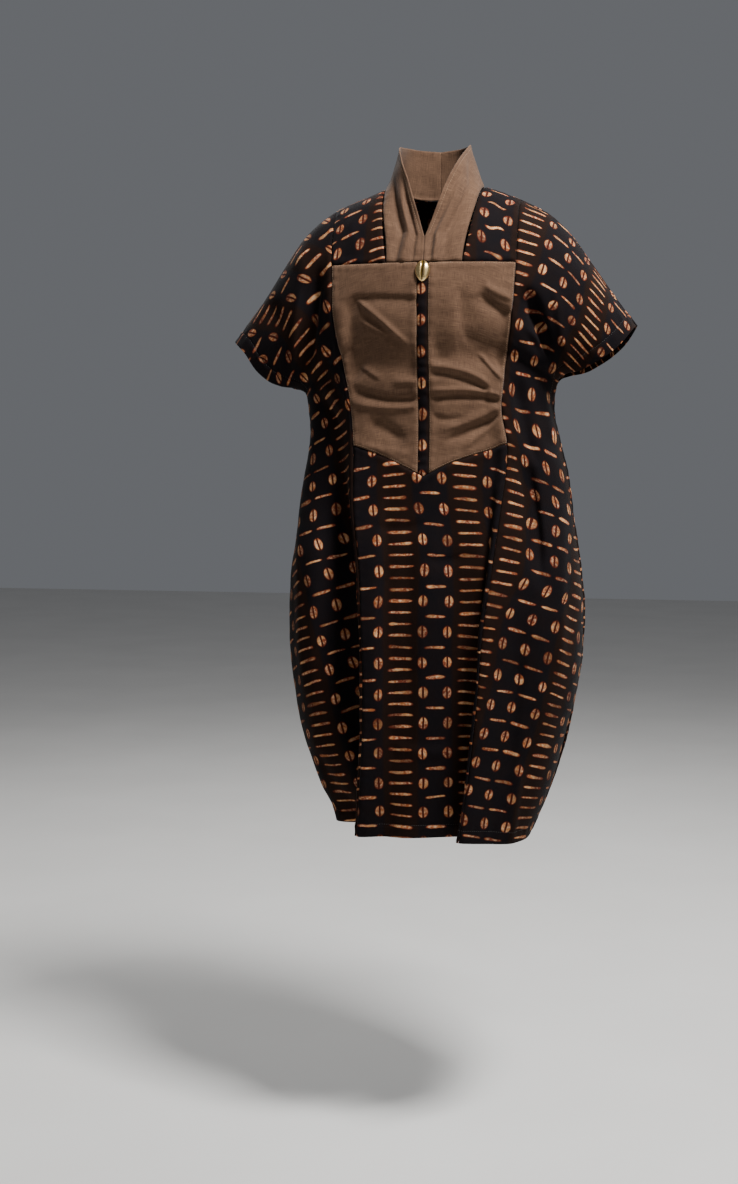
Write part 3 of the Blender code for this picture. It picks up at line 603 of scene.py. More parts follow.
def makeCloth(name, node, points, plan, cloth, thickness=drapedForm["clothThickness"]):
    # an open grid of faces with its plan as UVs, thickened inwards
    index = np.arange(points.shape[0] * points.shape[1]).reshape(points.shape[:2])
    faces = np.stack([index[:-1, :-1], index[1:, :-1], index[1:, 1:], index[:-1, 1:]], axis=-1)
    faces = faces.reshape(-1, 4)
    mesh = bpy.data.meshes.new(name)
    mesh.from_pydata(points.reshape(-1, 3).tolist(), [], faces.tolist())
    layer = mesh.uv_layers.new(name="clothPlan")
    corner = plan.reshape(-1, 2)[faces.reshape(-1)]
    layer.data.foreach_set("uv", corner.astype(np.float32).ravel())
    piece = placeMesh(name, mesh, cloth[0])
    shell = piece.modifiers.new("clothThickness", "SOLIDIFY")
    shell.thickness = thickness
    shell.offset = -1.0
    finishPiece(piece, node, cloth[1])
    return piece


def shoulderRows(end, count):
    last = math.acos(1 - end / drapedForm["shoulderRound"])
    return drapedForm["shoulderRound"] * (1 - np.cos(np.linspace(0.0, last, count + 1)))


planGrid = {"shoulderRows": 30, "rowsBelow": 230, "columns": 1201, "ladderStep": 0.004}


def formRows(face):
    # level rows over the whole form, from side to side, with the distance run along each
    p, end = planGrid, drapedForm["shoulderEnd"]
    below = np.linspace(end, drapedForm["hemDrop"], p["rowsBelow"])[1:]
    drops = np.concatenate([shoulderRows(end, p["shoulderRows"]), below])
    turns = np.linspace(-math.pi / 2, math.pi / 2, p["columns"])
    drop = np.repeat(drops[:, None], len(turns), axis=1)
    x = np.where(turns < 0, rightHalf(drop), leftHalf(drop)) * np.sin(turns)
    points = formPoints(face, x, drop)
    return drops, turns, x, points, runLength(points, 1)


rowsOfForm = {face: formRows(face) for face in ("front", "back")}


def clothPlan(face, ladder, x, drop, lean):
    # where a place lies on the uncut cloth: across from the ladder line, and down from the shoulder
    drops, turns, rowX, points, run = rowsOfForm[face]
    ladderX = ladder(drops)
    onLadder = np.array([np.interp(lx, xs, r) for lx, xs, r in zip(ladderX, rowX, run)])
    middle, beyond = [readRows(ladderX + step, rowX, points) for step in (0.0, planGrid["ladderStep"])]
    tangent = (beyond - middle) / np.linalg.norm(beyond - middle, axis=1, keepdims=True)
    step = np.diff(middle, axis=0)
    step = step - tangent[:-1] * np.sum(step * tangent[:-1], axis=1, keepdims=True)
    down = np.concatenate([[0], np.cumsum(np.linalg.norm(step, axis=1))])
    half = np.where(x < 0, rightHalf(drop), leftHalf(drop))
    turn = np.arcsin(np.clip(x / half, -1, 1))
    i = np.interp(drop, drops, np.arange(len(drops)))
    j = (turn / math.pi + 0.5) * (len(turns) - 1)
    i0, j0 = np.minimum(i.astype(int), len(drops) - 2), np.minimum(j.astype(int), len(turns) - 2)
    a, b = i - i0, j - j0
    fromLadder = run - onLadder[:, None]
    across = (fromLadder[i0, j0] * (1 - b) + fromLadder[i0, j0 + 1] * b) * (1 - a)
    across = across + (fromLadder[i0 + 1, j0] * (1 - b) + fromLadder[i0 + 1, j0 + 1] * b) * a
    return across, -np.interp(drop, drops, down) - np.interp(drop, *np.transpose(lean)) * across


def flatSize(points):
    # size of the cut that shows, from the form before any crease: widest row, longest column and area
    width, length = runLength(points, 1)[:, -1].max(), runLength(points, 0)[-1].max()
    quad = np.cross(points[1:, 1:] - points[:-1, :-1], points[1:, :-1] - points[:-1, 1:])
    return float(width), float(length), float(np.linalg.norm(quad, axis=-1).sum() / 2)


def wallPiece(
    name, node, cloth, face, x, drop, creases, edges, ladder, lumps,
    offset=0.0, lean=((0, 0),), drift=((0, 0),), wave=None,
):
    # one cut piece on the form: edges are left, top, right and bottom, 0 for a seam and 1 for a hem
    base = formPoints(face, x, drop)
    normals = gridNormals(base, outwards[face])
    fromLeft, fromTop = runLength(base, 1), runLength(base, 0)
    fromRight, fromBottom = fromLeft[:, -1:] - fromLeft, fromTop[-1:] - fromTop
    left, top, right, bottom = edges
    toSeam = np.minimum(np.minimum(fromLeft, fromRight), fromTop)
    if bottom == 0:
        toSeam = np.minimum(toSeam, fromBottom)
    kept = seamFinish["creaseShare"]
    height = creaseHeight(x, drop, creases) * (kept + (1 - kept) * ease(toSeam / seamFinish["creaseFade"]))
    size, rise, seed = lumps
    smaller, lower, otherSeed = lumpWaves["smaller"]
    height = height + rise * unevenness(x, drop, size, seed)
    height = height + lower * rise * unevenness(x, drop, size * smaller, seed + otherSeed)
    height = height + edgeHeight(fromLeft, fromTop, left) + edgeHeight(fromRight, fromTop, right)
    height = height + edgeHeight(fromTop, fromLeft, top) + edgeHeight(fromBottom, fromLeft, bottom)
    points = base + normals * height[..., None]
    across, down = clothPlan(face, ladder, x, drop, lean)
    across = across + np.interp(drop, *np.transpose(drift))
    if wave:
        reach, length, rows = wave
        down = down + reach * np.sin(across * 2 * math.pi / length) * np.sin(down * 2 * math.pi / rows + 1.0)
    piece = makeCloth(name, node, points, np.stack([across + offset, down], axis=-1), cloth)
    return piece, points, flatSize(base)


bodiceCut = {
    "top": 0.131,
    "point": 0.447,
    "cornerRight": 0.385,
    "cornerLeft": 0.378,
    "placketHalf": 0.008,
    "collarFootFront": 0.057,
    "neckHalf": 0.075,
    "backNeckDrop": 0.020,
    "vPoint": 0.0935,
}


def bodiceTopDrop(x):
    return bodiceCut["top"] - overarmFall(np.abs(x))


def sideCorner(side):
    seam = sides[side][0]
    return float(bodiceTopDrop(seam(bodiceCut["vPoint"]))), bodiceCut["corner" + side.capitalize()]


def bodiceBottomDrop(x, side):
    corner = sideCorner(side)[1]
    half = float(sides[side][0](corner))
    return bodiceCut["point"] - (bodiceCut["point"] - corner) * np.abs(x) / half


def seamRows(side, upper, middle, lower):
    top, bottom = sideCorner(side)
    beside = np.linspace(top, bottom, middle + 1)
    below = np.linspace(bottom, drapedForm["hemDrop"], lower + 1)
    return np.concatenate([shoulderRows(top, upper), beside[1:], below[1:]])


foldGrid = {"end": 0.086, "turnColumns": 37, "underColumns": 27, "upperColumns": 22}


def foldColumns(kind, seam, room):
    # places beside the long seam, close together where the pleat turns
    p, face = foldGrid, drapedForm["knifeFold"]["face"]
    if kind == "under":
        under = np.linspace(face, p["end"], p["underColumns"])[1:]
        near = np.concatenate([np.linspace(0.0, face, p["turnColumns"]), under])
    else:
        near = np.linspace(0.0, drapedForm["knifeFold"]["rise"], p["upperColumns"])
    return seam + near * room


def mirrored(side, *grids):
    # the right half is built outwards from the middle too, so its columns are turned round
    return [grid[:, ::-1] for grid in grids] if side == "right" else grids


def sleeveHem(drop):
    fade = drapedForm["sleeveHemFade"]
    return 1 - ease((drop - underarmDrop + fade) / fade)  # the sleeve's hem ends at the underarm


sidePanels = {
    "rowsAbove": 26,
    "rowsBeside": 84,
    "rowsBelow": 168,
    "farColumns": 52,
    "foldShare": 0.62,  # the close columns take up no more of the panel than this
    "lumps": (0.16, 0.0011, 2.0),  # size, height, seed
    "rightLadder": [  # drop, place of the ladder line
        (0.000, -0.285), (0.058, -0.250), (0.120, -0.215), (0.204, -0.185), (0.262, -0.165), (0.343, -0.140),
        (0.500, -0.125), (0.595, -0.104), (0.700, -0.085), (0.850, -0.060), (0.995, -0.045),
    ],
    "leftLadder": [
        (0.000, 0.1575), (0.053, 0.1502), (0.097, 0.1421), (0.150, 0.122), (0.200, 0.108), (0.270, 0.102),
        (0.330, 0.106), (0.400, 0.124), (0.444, 0.1388), (0.501, 0.1364), (0.556, 0.1321), (0.592, 0.1243),
        (0.629, 0.1148), (0.681, 0.1076), (0.800, 0.098), (0.995, 0.085),
    ],
    "offset": {"right": 0.0, "left": 0.107},
    "grainLean": {  # drop, lean
        "right": (
            (0.0, 0.12), (0.16, 0.12), (0.30, 0.05), (0.44, 0.0),
            (0.55, 0.12), (0.65, 0.20), (0.90, 0.20), (1.0, 0.15),
        ),
        "left": (
            (0.0, 0.20), (0.20, 0.20), (0.36, 0.06), (0.50, 0.0),
            (0.62, -0.10), (0.72, -0.20), (0.90, -0.20), (1.0, -0.12),
        ),
    },
    "grainDrift": {  # the print's columns lean in as the panel narrows to the hem
        "right": ((0.0, 0.0), (0.55, 0.0), (0.65, 0.014), (0.75, 0.018), (0.85, 0.030), (0.995, 0.036)),
        "left": (
            (0.0, 0.0), (0.58, 0.0), (0.65, 0.012), (0.746, 0.018), (0.834, 0.035), (0.919, 0.055), (0.995, 0.065),
        ),
    },
    "rightCreases": [
        (-204, 240, -180, 170, -166, 75, -5.6, 6, 10, 0.35), (-222, 215, -205, 150, -196, 80, 4.2, 10, 6, 0.35),
        (-190, 245, -160, 235, -140, 200, -4.2, 5, 8, 0.35), (-186, 270, -164, 300, -146, 350, -4.5, 6, 9, 0.35),
        (-178, 250, -152, 285, -132, 330, 3.6, 6, 8, 0.35), (-150, 390, -142, 600, -132, 900, -10, 10, 16, 0.25),
        (-203, 380, -198, 560, -186, 800, 4.2, 8, 12, 0.3), (-160, 700, -150, 820, -140, 990, 5.6, 8, 10, 0.25),
        (-175, 860, -166, 930, -158, 1010, -4.9, 7, 9, 0.3), (-270, 20, -245, 60, -228, 120, -3.6, 8, 12, 0.35),
        (-210, 20, -196, 50, -190, 90, 3.1, 8, 10, 0.35),
    ],
    "leftCreases": [
        (148, 160, 172, 172, 192, 190, -6.3, 5, 9, 0.35), (146, 185, 168, 205, 186, 228, 4.8, 7, 5, 0.35),
        (188, 236, 170, 190, 150, 120, -5.9, 6, 10, 0.35), (207, 205, 198, 150, 190, 90, 4.2, 6, 10, 0.35),
        (139, 262, 150, 325, 166, 400, -10, 8, 15, 0.3), (166, 258, 176, 300, 190, 350, 4.2, 6, 8, 0.3),
        (150, 385, 166, 486, 180, 600, -9, 8, 14, 0.3), (196, 400, 204, 560, 200, 760, 3.9, 9, 12, 0.3),
        (150, 640, 142, 780, 128, 950, -4.2, 8, 12, 0.3), (150, 860, 140, 930, 132, 1010, 4.2, 7, 10, 0.3),
        (238, 30, 226, 80, 214, 130, -3.4, 8, 12, 0.35),
    ],
}


def makeSide(side):
    p = sidePanels
    drops = seamRows(side, p["rowsAbove"], p["rowsBeside"], p["rowsBelow"])
    seam, half, sign = sides[side]
    rows = []
    for drop in drops:
        start, width = float(seam(drop)) + gap / 2, float(half(drop))
        room = min(1.0, p["foldShare"] * (width - start) / foldGrid["end"])
        inner = foldColumns("under" if side == "right" else "upper", start, room)
        turns = np.linspace(math.asin(inner[-1] / width), math.pi / 2, p["farColumns"] + 1)[1:]
        rows.append(sign * np.concatenate([inner, width * np.sin(turns)]))
    x = np.array(rows)
    drop = np.repeat(drops[:, None], x.shape[1], axis=1)
    hemmed = sleeveHem(drop)
    edges = (hemmed, 0, 0, 1) if side == "right" else (0, 0, hemmed, 1)
    x, drop = mirrored(side, x, drop)
    return wallPiece(
        "sidePanel" + side.capitalize(), "side_" + side, printed, "front", x, drop,
        p[side + "Creases"], edges, throughTable(p[side + "Ladder"], 1), p["lumps"],
        p["offset"][side], p["grainLean"][side], p["grainDrift"][side],
    )


skirtFront = {
    "rows": 168,
    "middleColumns": 46,
    "lumps": (0.19, 0.0013, 5.0),
    "ladder": [(0.30, -0.0415), (0.48, -0.0415), (0.54, -0.032), (0.70, -0.030), (0.995, -0.030)],
    "creases": [
        (-60, 420, -66, 600, -62, 900, 4.7, 10, 16, 0.3), (-22, 480, -18, 660, -20, 880, -3.2, 12, 16, 0.3),
        (36, 470, 40, 640, 36, 930, -5.4, 10, 16, 0.3), (62, 440, 66, 580, 60, 800, 4.3, 10, 12, 0.3),
        (-60, 840, 0, 860, 40, 850, 2.4, 8, 12, 0.35), (-80, 510, -40, 522, 20, 512, -1.9, 6, 10, 0.35),
        (0, 560, 30, 570, 70, 556, -1.9, 6, 10, 0.35),
    ],
}


def makeSkirtFront():
    p = skirtFront
    rowsRight, rowsLeft = [seamRows(side, 1, 1, p["rows"])[-p["rows"] - 1:] for side in ("right", "left")]
    gridX, gridDrop = [], []
    for fraction, dropRight, dropLeft in zip(np.linspace(0.0, 1.0, p["rows"] + 1), rowsRight, rowsLeft):
        byRight = -foldColumns("upper", float(rightSeam(dropRight)), -1.0)
        byLeft = foldColumns("under", float(leftSeam(dropLeft)), -1.0)[::-1]
        middle = np.linspace(byRight[-1], byLeft[0], p["middleColumns"] + 2)[1:-1]
        across = np.concatenate([byRight, middle, byLeft])
        across[0] += gap / 2
        across[-1] -= gap / 2
        top = np.where(across < 0, bodiceBottomDrop(across, "right"), bodiceBottomDrop(across, "left"))
        top[0], top[-1] = rowsRight[0], rowsLeft[0]
        gridX.append(across)
        gridDrop.append(top + gap / 2 + (drapedForm["hemDrop"] - top - gap / 2) * fraction)
    return wallPiece(
        "skirtFront", "skirt_front", printed, "front", np.array(gridX), np.array(gridDrop),
        p["creases"], (0, 0, 0, 1), throughTable(p["ladder"], 1), p["lumps"],
    )


bodiceHalves = {
    "rows": 170,
    "columns": 74,
    "lumps": (0.075, 0.0006, 1.0),
    "rightCreases": [
        (-129, 149, -125.9, 198.6, -123.2, 271.8, 2.2, 8, 10, 0.25),
        (-113.5, 156.2, -111.9, 212.2, -106.8, 291.6, -5.2, 16, 8, 0.2),
        (-113.5, 160.7, -63.1, 176.1, 3, 186.9, -4, 5, 13, 0.12),
        (-107.4, 161.6, -62.7, 208.6, -21, 251, 3.2, 4.5, 2.8, 0.2),
        (-102.7, 178.8, -66.7, 216.7, -29.8, 255.5, -2.4, 5, 8, 0.25),
        (-97.7, 198.6, -73.6, 218.5, -49.7, 233.9, 2.2, 4, 2.5, 0.3),
        (-102.5, 264.6, -83.2, 279.9, -63.3, 298, 2.6, 5, 2.8, 0.3),
        (-111.6, 248.3, -55.3, 271.8, 8, 278.1, -7.2, 26, 22, 0.2),
        (-48.1, 307.9, -27.5, 304.3, 3, 311.5, 3, 8, 4, 0.3), (-116, 291, -56.6, 325.9, 5, 326.9, -4.8, 5, 9, 0.2),
        (-114, 316, -56.9, 339.5, 5, 339.5, 3.6, 8, 5, 0.2),
        (-86.8, 347.6, -53.1, 373.8, -24.3, 396.4, -5.2, 9, 11, 0.3), (-95, 395, -60, 402, -10, 420, 2, 6, 8, 0.3),
    ],
    "leftCreases": [
        (48.8, 166.1, 45.6, 216.7, 49.3, 270, 3, 6, 18, 0.3),
        (59.6, 160.7, 58.7, 211.3, 71.2, 250.1, -3.4, 16, 6, 0.25),
        (85.4, 150.8, 111.9, 158, 150, 155.3, 3.4, 8, 5, 0.2),
        (81.1, 163.4, 107.8, 177.9, 150, 177, -6.2, 6, 14, 0.2),
        (124.5, 174.3, 120.8, 217.6, 113.1, 273.6, -5, 7, 13, 0.25),
        (4.5, 266.4, 60.5, 260, 130, 249.2, -7, 26, 19, 0.2),
        (78.6, 251.9, 95.3, 268.2, 118, 283, 3.2, 5, 3.2, 0.25),
        (5, 283.5, 52.3, 284.4, 99.8, 300.7, 3, 6, 3.5, 0.2), (4, 292.5, 51.7, 295.3, 95.9, 310.6, -4.6, 4, 7, 0.2),
        (4, 319.6, 58.1, 313.3, 125, 305.2, 3.2, 5, 3.5, 0.2), (4, 332.3, 58, 322.3, 125, 316.9, -4.6, 4.5, 7, 0.2),
        (123, 316, 70.5, 353.9, 24.6, 378.3, 3.8, 4.5, 8, 0.25),
        (120, 332, 63.6, 372, 28.7, 396.4, -5.2, 8, 5, 0.25), (123, 334, 73.4, 379.2, 57, 409, 2.8, 4, 6, 0.25),
        (5, 352.1, 37.2, 359.4, 60.4, 351.2, -2.6, 5, 8, 0.3),
    ],
}


def makeBodice(side):
    p = bodiceHalves
    top, bottom = sideCorner(side)
    seam, _, sign = sides[side]
    inner = bodiceCut["placketHalf"] + gap / 2
    shares = np.linspace(0.0, 1.0, p["columns"] + 1)
    gridX, gridDrop = [], []
    fractions, drops = np.linspace(0.0, 1.0, p["rows"] + 1), np.linspace(top, bottom, p["rows"] + 1)
    for fraction, drop in zip(fractions, drops):
        across = inner + (float(seam(drop)) - gap / 2 - inner) * shares
        high = bodiceTopDrop(across) + gap / 2
        low = bodiceBottomDrop(across, side) - gap / 2
        gridX.append(sign * across)
        gridDrop.append(high + (low - high) * fraction)
    x, drop = mirrored(side, np.array(gridX), np.array(gridDrop))
    return wallPiece(
        "bodice" + side.capitalize(), "bodice_" + side, plain, "front", x, drop,
        p[side + "Creases"], (0, 0, 0, 0), np.zeros_like, p["lumps"],
    )


placketStrip = {"rows": 190, "columns": 12, "lumps": (0.05, 0.0004, 4.0), "ladder": 0.0325}


def makePlacket():
    p = placketStrip
    half = bodiceCut["placketHalf"] - gap / 2
    across = np.linspace(-half, half, p["columns"] + 1)
    top = np.full(len(across), bodiceCut["top"] + gap / 2)
    bottom = bodiceBottomDrop(across, "right") - gap / 2
    drop = top + (bottom - top) * np.linspace(0.0, 1.0, p["rows"] + 1)[:, None]
    x = np.repeat(across[None, :], len(drop), axis=0)
    return wallPiece(
        "placketStrip", "placket", printed, "front", x, drop,
        [], (0, 0, 0, 0), np.zeros_like, p["lumps"], offset=-p["ladder"],
    )


yokes = {
    "rows": 56,
    "columns": 36,
    "lumps": (0.07, 0.0006, 6.0),
    "rightLadder": -0.0670,
    "leftLadder": 0.0500,
    "rightCreases": [
        (-120, 20, -112, 60, -100, 100, 1.4, 6, 10, 0.3),
    ],
    "leftCreases": [
        (118, 20, 110, 60, 98, 100, -1.4, 6, 10, 0.3),
    ],
    "rightWave": None,
    "leftWave": (0.0034, 0.036, 0.13),  # the bars here are printed wavy: reach, length, rows
    "collarSeamCurve": 0.8,
    "levelling": 4,  # how late its rows turn level with the bodice's top
}


def collarSeam(drop):
    down = ease(drop / bodiceCut["top"]) ** yokes["collarSeamCurve"]
    return bodiceCut["neckHalf"] + (bodiceCut["collarFootFront"] - bodiceCut["neckHalf"]) * down


def makeYoke(side):
    p = yokes
    outerDrops = shoulderRows(sideCorner(side)[0], p["rows"])
    innerDrops = shoulderRows(float(bodiceTopDrop(bodiceCut["collarFootFront"])), p["rows"])
    seam, _, sign = sides[side]
    shares = np.linspace(0.0, 1.0, p["columns"] + 1)
    gridX, gridDrop = [], []
    for i in range(p["rows"] + 1):
        inner = float(collarSeam(innerDrops[i])) + gap / 2
        outer = float(seam(outerDrops[i])) - gap / 2
        across = inner + (outer - inner) * shares
        here = innerDrops[i] + (outerDrops[i] - innerDrops[i]) * shares
        last = bodiceTopDrop(across) - gap / 2
        blend = (i / p["rows"]) ** p["levelling"]
        gridX.append(sign * across)
        gridDrop.append(here * (1 - blend) + last * blend)
    x, drop = mirrored(side, np.array(gridX), np.array(gridDrop))
    return wallPiece(
        "yoke" + side.capitalize(), "yoke_" + side, printed, "front", x, drop,
        p[side + "Creases"], (0, 0, 0, 0), lambda d: np.full_like(d, p[side + "Ladder"]), p["lumps"],
        wave=p[side + "Wave"],
    )


backPiece = {
    "rowsAbove": 30,
    "rowsBelow": 218,
    "neckColumns": 18,
    "sideColumns": 62,
    "ladder": -0.0535,
    "lumps": (0.18, 0.0014, 3.0),
    "creases": [
        (-200, 240, -180, 170, -160, 80, -4.7, 6, 10, 0.35), (196, 240, 176, 170, 156, 80, -4.7, 10, 6, 0.35),
        (-216, 200, -200, 140, -190, 70, 3.6, 8, 6, 0.35), (210, 205, 196, 140, 186, 70, 3.6, 6, 8, 0.35),
        (-180, 260, -130, 285, -70, 290, -2.9, 5, 10, 0.35), (176, 262, 130, 290, 80, 296, -2.9, 5, 10, 0.35),
        (-60, 40, -30, 75, 10, 90, 1.8, 6, 12, 0.35), (64, 40, 40, 85, 0, 110, 1.6, 6, 12, 0.35),
        (-150, 400, -160, 560, -168, 760, 5.2, 9, 14, 0.3), (-30, 360, -34, 600, -40, 980, -5.2, 9, 15, 0.25),
        (54, 380, 58, 640, 62, 980, -4.7, 12, 9, 0.25), (160, 390, 168, 560, 164, 800, 4.4, 9, 13, 0.3),
        (-100, 560, -106, 760, -100, 1000, 3.9, 8, 12, 0.3), (110, 600, 116, 780, 108, 1000, 3.9, 10, 8, 0.3),
        (-70, 330, 0, 344, 76, 334, -2.1, 6, 12, 0.35),
    ],
}


def backNeckDrop(x):
    return bodiceCut["backNeckDrop"] * np.clip(1 - (x / bodiceCut["neckHalf"]) ** 2, 0.0, 1.0)


def makeBack():
    p, hemDrop, end = backPiece, drapedForm["hemDrop"], drapedForm["shoulderEnd"]
    neck = bodiceCut["neckHalf"] * np.sin(np.linspace(0.0, math.pi / 2, p["neckColumns"] + 1))
    below = np.linspace(end, hemDrop, p["rowsBelow"] + 1)[1:]
    rows = np.concatenate([shoulderRows(end, p["rowsAbove"]), below])
    columns = []
    for sign, half in ((-1.0, rightHalf), (1.0, leftHalf)):
        turns = [math.asin(x / float(half(backNeckDrop(x)))) for x in neck]
        turns += list(np.linspace(turns[-1], math.pi / 2, p["sideColumns"] + 1)[1:])
        tops = [float(backNeckDrop(x)) for x in neck] + [0.0] * p["sideColumns"]
        columns.append([(sign * turn, top) for turn, top in zip(turns, tops)])
    turns, tops = np.array(columns[0][:0:-1] + columns[1]).T
    drop = tops[None, :] + (hemDrop - tops[None, :]) * (rows / hemDrop)[:, None]
    x = np.where(turns < 0, rightHalf(drop), leftHalf(drop)) * np.sin(turns)[None, :]
    hemmed = sleeveHem(drop)
    return wallPiece(
        "backPiece", "back", printed, "back", x, drop,
        p["creases"], (hemmed, 0, hemmed, 1), lambda d: np.full_like(d, p["ladder"]), p["lumps"],
    )


bandCollar = {
    "stations": 150,
    "columns": 34,
    "thickness": 0.0015,
    "edge": [  # station, across, y, z
        (0.45, 0.0150, -0.0880, -0.0500), (0.60, 0.0275, -0.0740, -0.0130), (0.80, 0.0420, -0.0520, 0.0220),
        (1.00, 0.0530, -0.0160, 0.0480), (1.30, 0.0500, 0.0220, 0.0560), (1.65, 0.0310, 0.0500, 0.0560),
        (2.00, 0.0000, 0.0600, 0.0540),
    ],
    "vStation": 0.27,
    "rise": (0.10, 0.45),  # it leaves the chest from the first station, over so many more
    "outward": (0.6, -0.6, 0.5),  # of the left half
    "lumps": (0.05, 0.0005, 7.0),
    "stitchInset": 0.0055,
    "stitchDip": (0.0005, 0.0010),  # depth, width
    # the creases' places are along the sewn edge from the bodice, and in from the free edge
    "rightCreases": [
        (-30, 34, 60, 24, 135, 14, 3.4, 3, 6, 0.3), (-20, 18, 70, 14, 145, 8, -3.4, 3, 5, 0.3),
        (-30, 47, 70, 36, 160, 29, -4, 4, 7, 0.3), (0, 26, 50, 21, 110, 17, 1.8, 2, 4, 0.3),
    ],
    "leftCreases": [
        (-25, 12, 70, 19, 150, 16, 4.2, 3, 8, 0.3), (-10, 6, 60, 11, 130, 10, -2.2, 3, 4, 0.3),
        (-25, 26, 70, 34, 150, 36, -3.4, 4, 9, 0.3), (120, 46, 150, 30, 180, 10, -1.8, 5, 8, 0.35),
    ],
}
collarEdge = [throughTable(bandCollar["edge"], column) for column in (1, 2, 3)]


def collarFoot(station):
    if station <= 1.0:
        foot = float(bodiceTopDrop(bodiceCut["collarFootFront"]))
        last = math.acos(1 - foot / drapedForm["shoulderRound"])
        drop = drapedForm["shoulderRound"] * (1 - math.cos(last * (1 - station)))
        point = formPoints("front", float(collarSeam(drop)) - gap / 2, drop)
        point[1] += gap / 2
        return point
    turn = (station - 1.0) * math.pi / 2
    x = bodiceCut["neckHalf"] * math.cos(turn)
    inwards = -np.array([math.cos(turn), math.sin(turn), 0.0])
    return formPoints("back", x, float(backNeckDrop(x))) + gap * inwards


def collarFreeEdge(station):
    first, corner = bandCollar["edge"][0][0], bandCollar["vStation"]
    if station >= first:
        return np.array([float(f(station)) for f in collarEdge])
    if station <= corner:
        drop = bodiceCut["top"] + (bodiceCut["vPoint"] - bodiceCut["top"]) * station / corner
        return formPoints("front", gap / 2, drop)
    top = formPoints("front", gap / 2, bodiceCut["vPoint"])
    standing = np.array([float(f(first)) for f in collarEdge])
    return top + (standing - top) * (station - corner) / (first - corner)


def makeCollar(side):
    p = bandCollar
    shares = np.linspace(0.0, 1.0, p["columns"] + 1)
    stations = np.unique(np.concatenate([np.linspace(0.0, 2.0, p["stations"] + 1), [p["vStation"]]]))
    riseStart, riseLength = p["rise"]
    rows = []
    for station in stations:
        foot, edge = collarFoot(station), collarFreeEdge(station)
        ruled = foot + (edge - foot) * shares[:, None]
        across = foot[0] + (edge[0] - foot[0]) * shares
        dropFoot = -foot[2] - float(overarmFall(foot[0]))
        dropEdge = -edge[2] - float(overarmFall(edge[0]))
        lying = formPoints("front", across, np.maximum(dropFoot + (dropEdge - dropFoot) * shares, 0.0))
        rows.append(lying + (ruled - lying) * float(ease((station - riseStart) / riseLength)))
    base = np.array(rows)
    base[-1, :, 0] = gap / 2
    base[0, :, 2] = -bodiceCut["top"] + gap / 2
    turned = np.array([sides[side][2], 1.0, 1.0])
    (base,) = mirrored(side, base * turned)
    normals = gridNormals(base, turned * p["outward"])
    sewn = 0 if side == "left" else -1
    along = np.repeat(runLength(base, 0)[:, sewn][:, None], base.shape[1], axis=1)
    fromLeft = runLength(base, 1)
    fromRight = fromLeft[:, -1:] - fromLeft
    fromFoot, fromEdge = (fromRight, fromLeft) if side == "right" else (fromLeft, fromRight)
    size, rise, seed = p["lumps"]
    dip, dipWidth = p["stitchDip"]
    height = creaseHeight(along, fromEdge, p[side + "Creases"])
    height = height + edgeHeight(fromFoot, along, 0) + edgeHeight(along, fromEdge, 0)
    height = height + rise * unevenness(along, fromEdge, size, seed)
    height = height - dip * np.exp(-(((fromEdge - p["stitchInset"]) / dipWidth) ** 2))
    points = base + normals * height[..., None]
    plan = np.stack([fromFoot, along], axis=-1)
    piece = makeCloth("collar" + side.capitalize(), "collar_" + side, points, plan, plain, p["thickness"])
    return piece, points, flatSize(base)


made = [make(side) for side in sides for make in (makeSide, makeYoke, makeBodice, makeCollar)]
made += [makeSkirtFront(), makePlacket(), makeBack()]
built = {piece.name: (piece, points, flat) for piece, points, flat in made}
for name, (piece, points, flat) in built.items():
    print(name, len(piece.data.polygons), "faces, flat", [round(value, 4) for value in flat])

shellButton = {
    "width": 0.0225,
    "height": 0.032,
    "depth": 0.007,
    "back": 0.0012,
    "drop": 0.1455,
    "segments": (72, 56),
    "taper": (0.12, 0.06),  # wider above than below
    "slit": {"width": 0.13, "depth": 0.50, "wander": 0.05, "bends": 2.2, "ends": 0.9},
    "lip": {"at": 0.20, "width": 0.09, "teeth": 13, "depth": 0.06},
    "hollow": {"width": 0.34, "at": 0.86, "height": 0.16, "depth": 0.5},  # at the top
    # how much painted shade darkens the slit, the hollow and the teeth, and how bright the face and back are
    "wearAndShade": {"slit": 1.3, "hollow": 1.6, "teeth": 0.35, "front": 0.75, "back": 0.3},
}


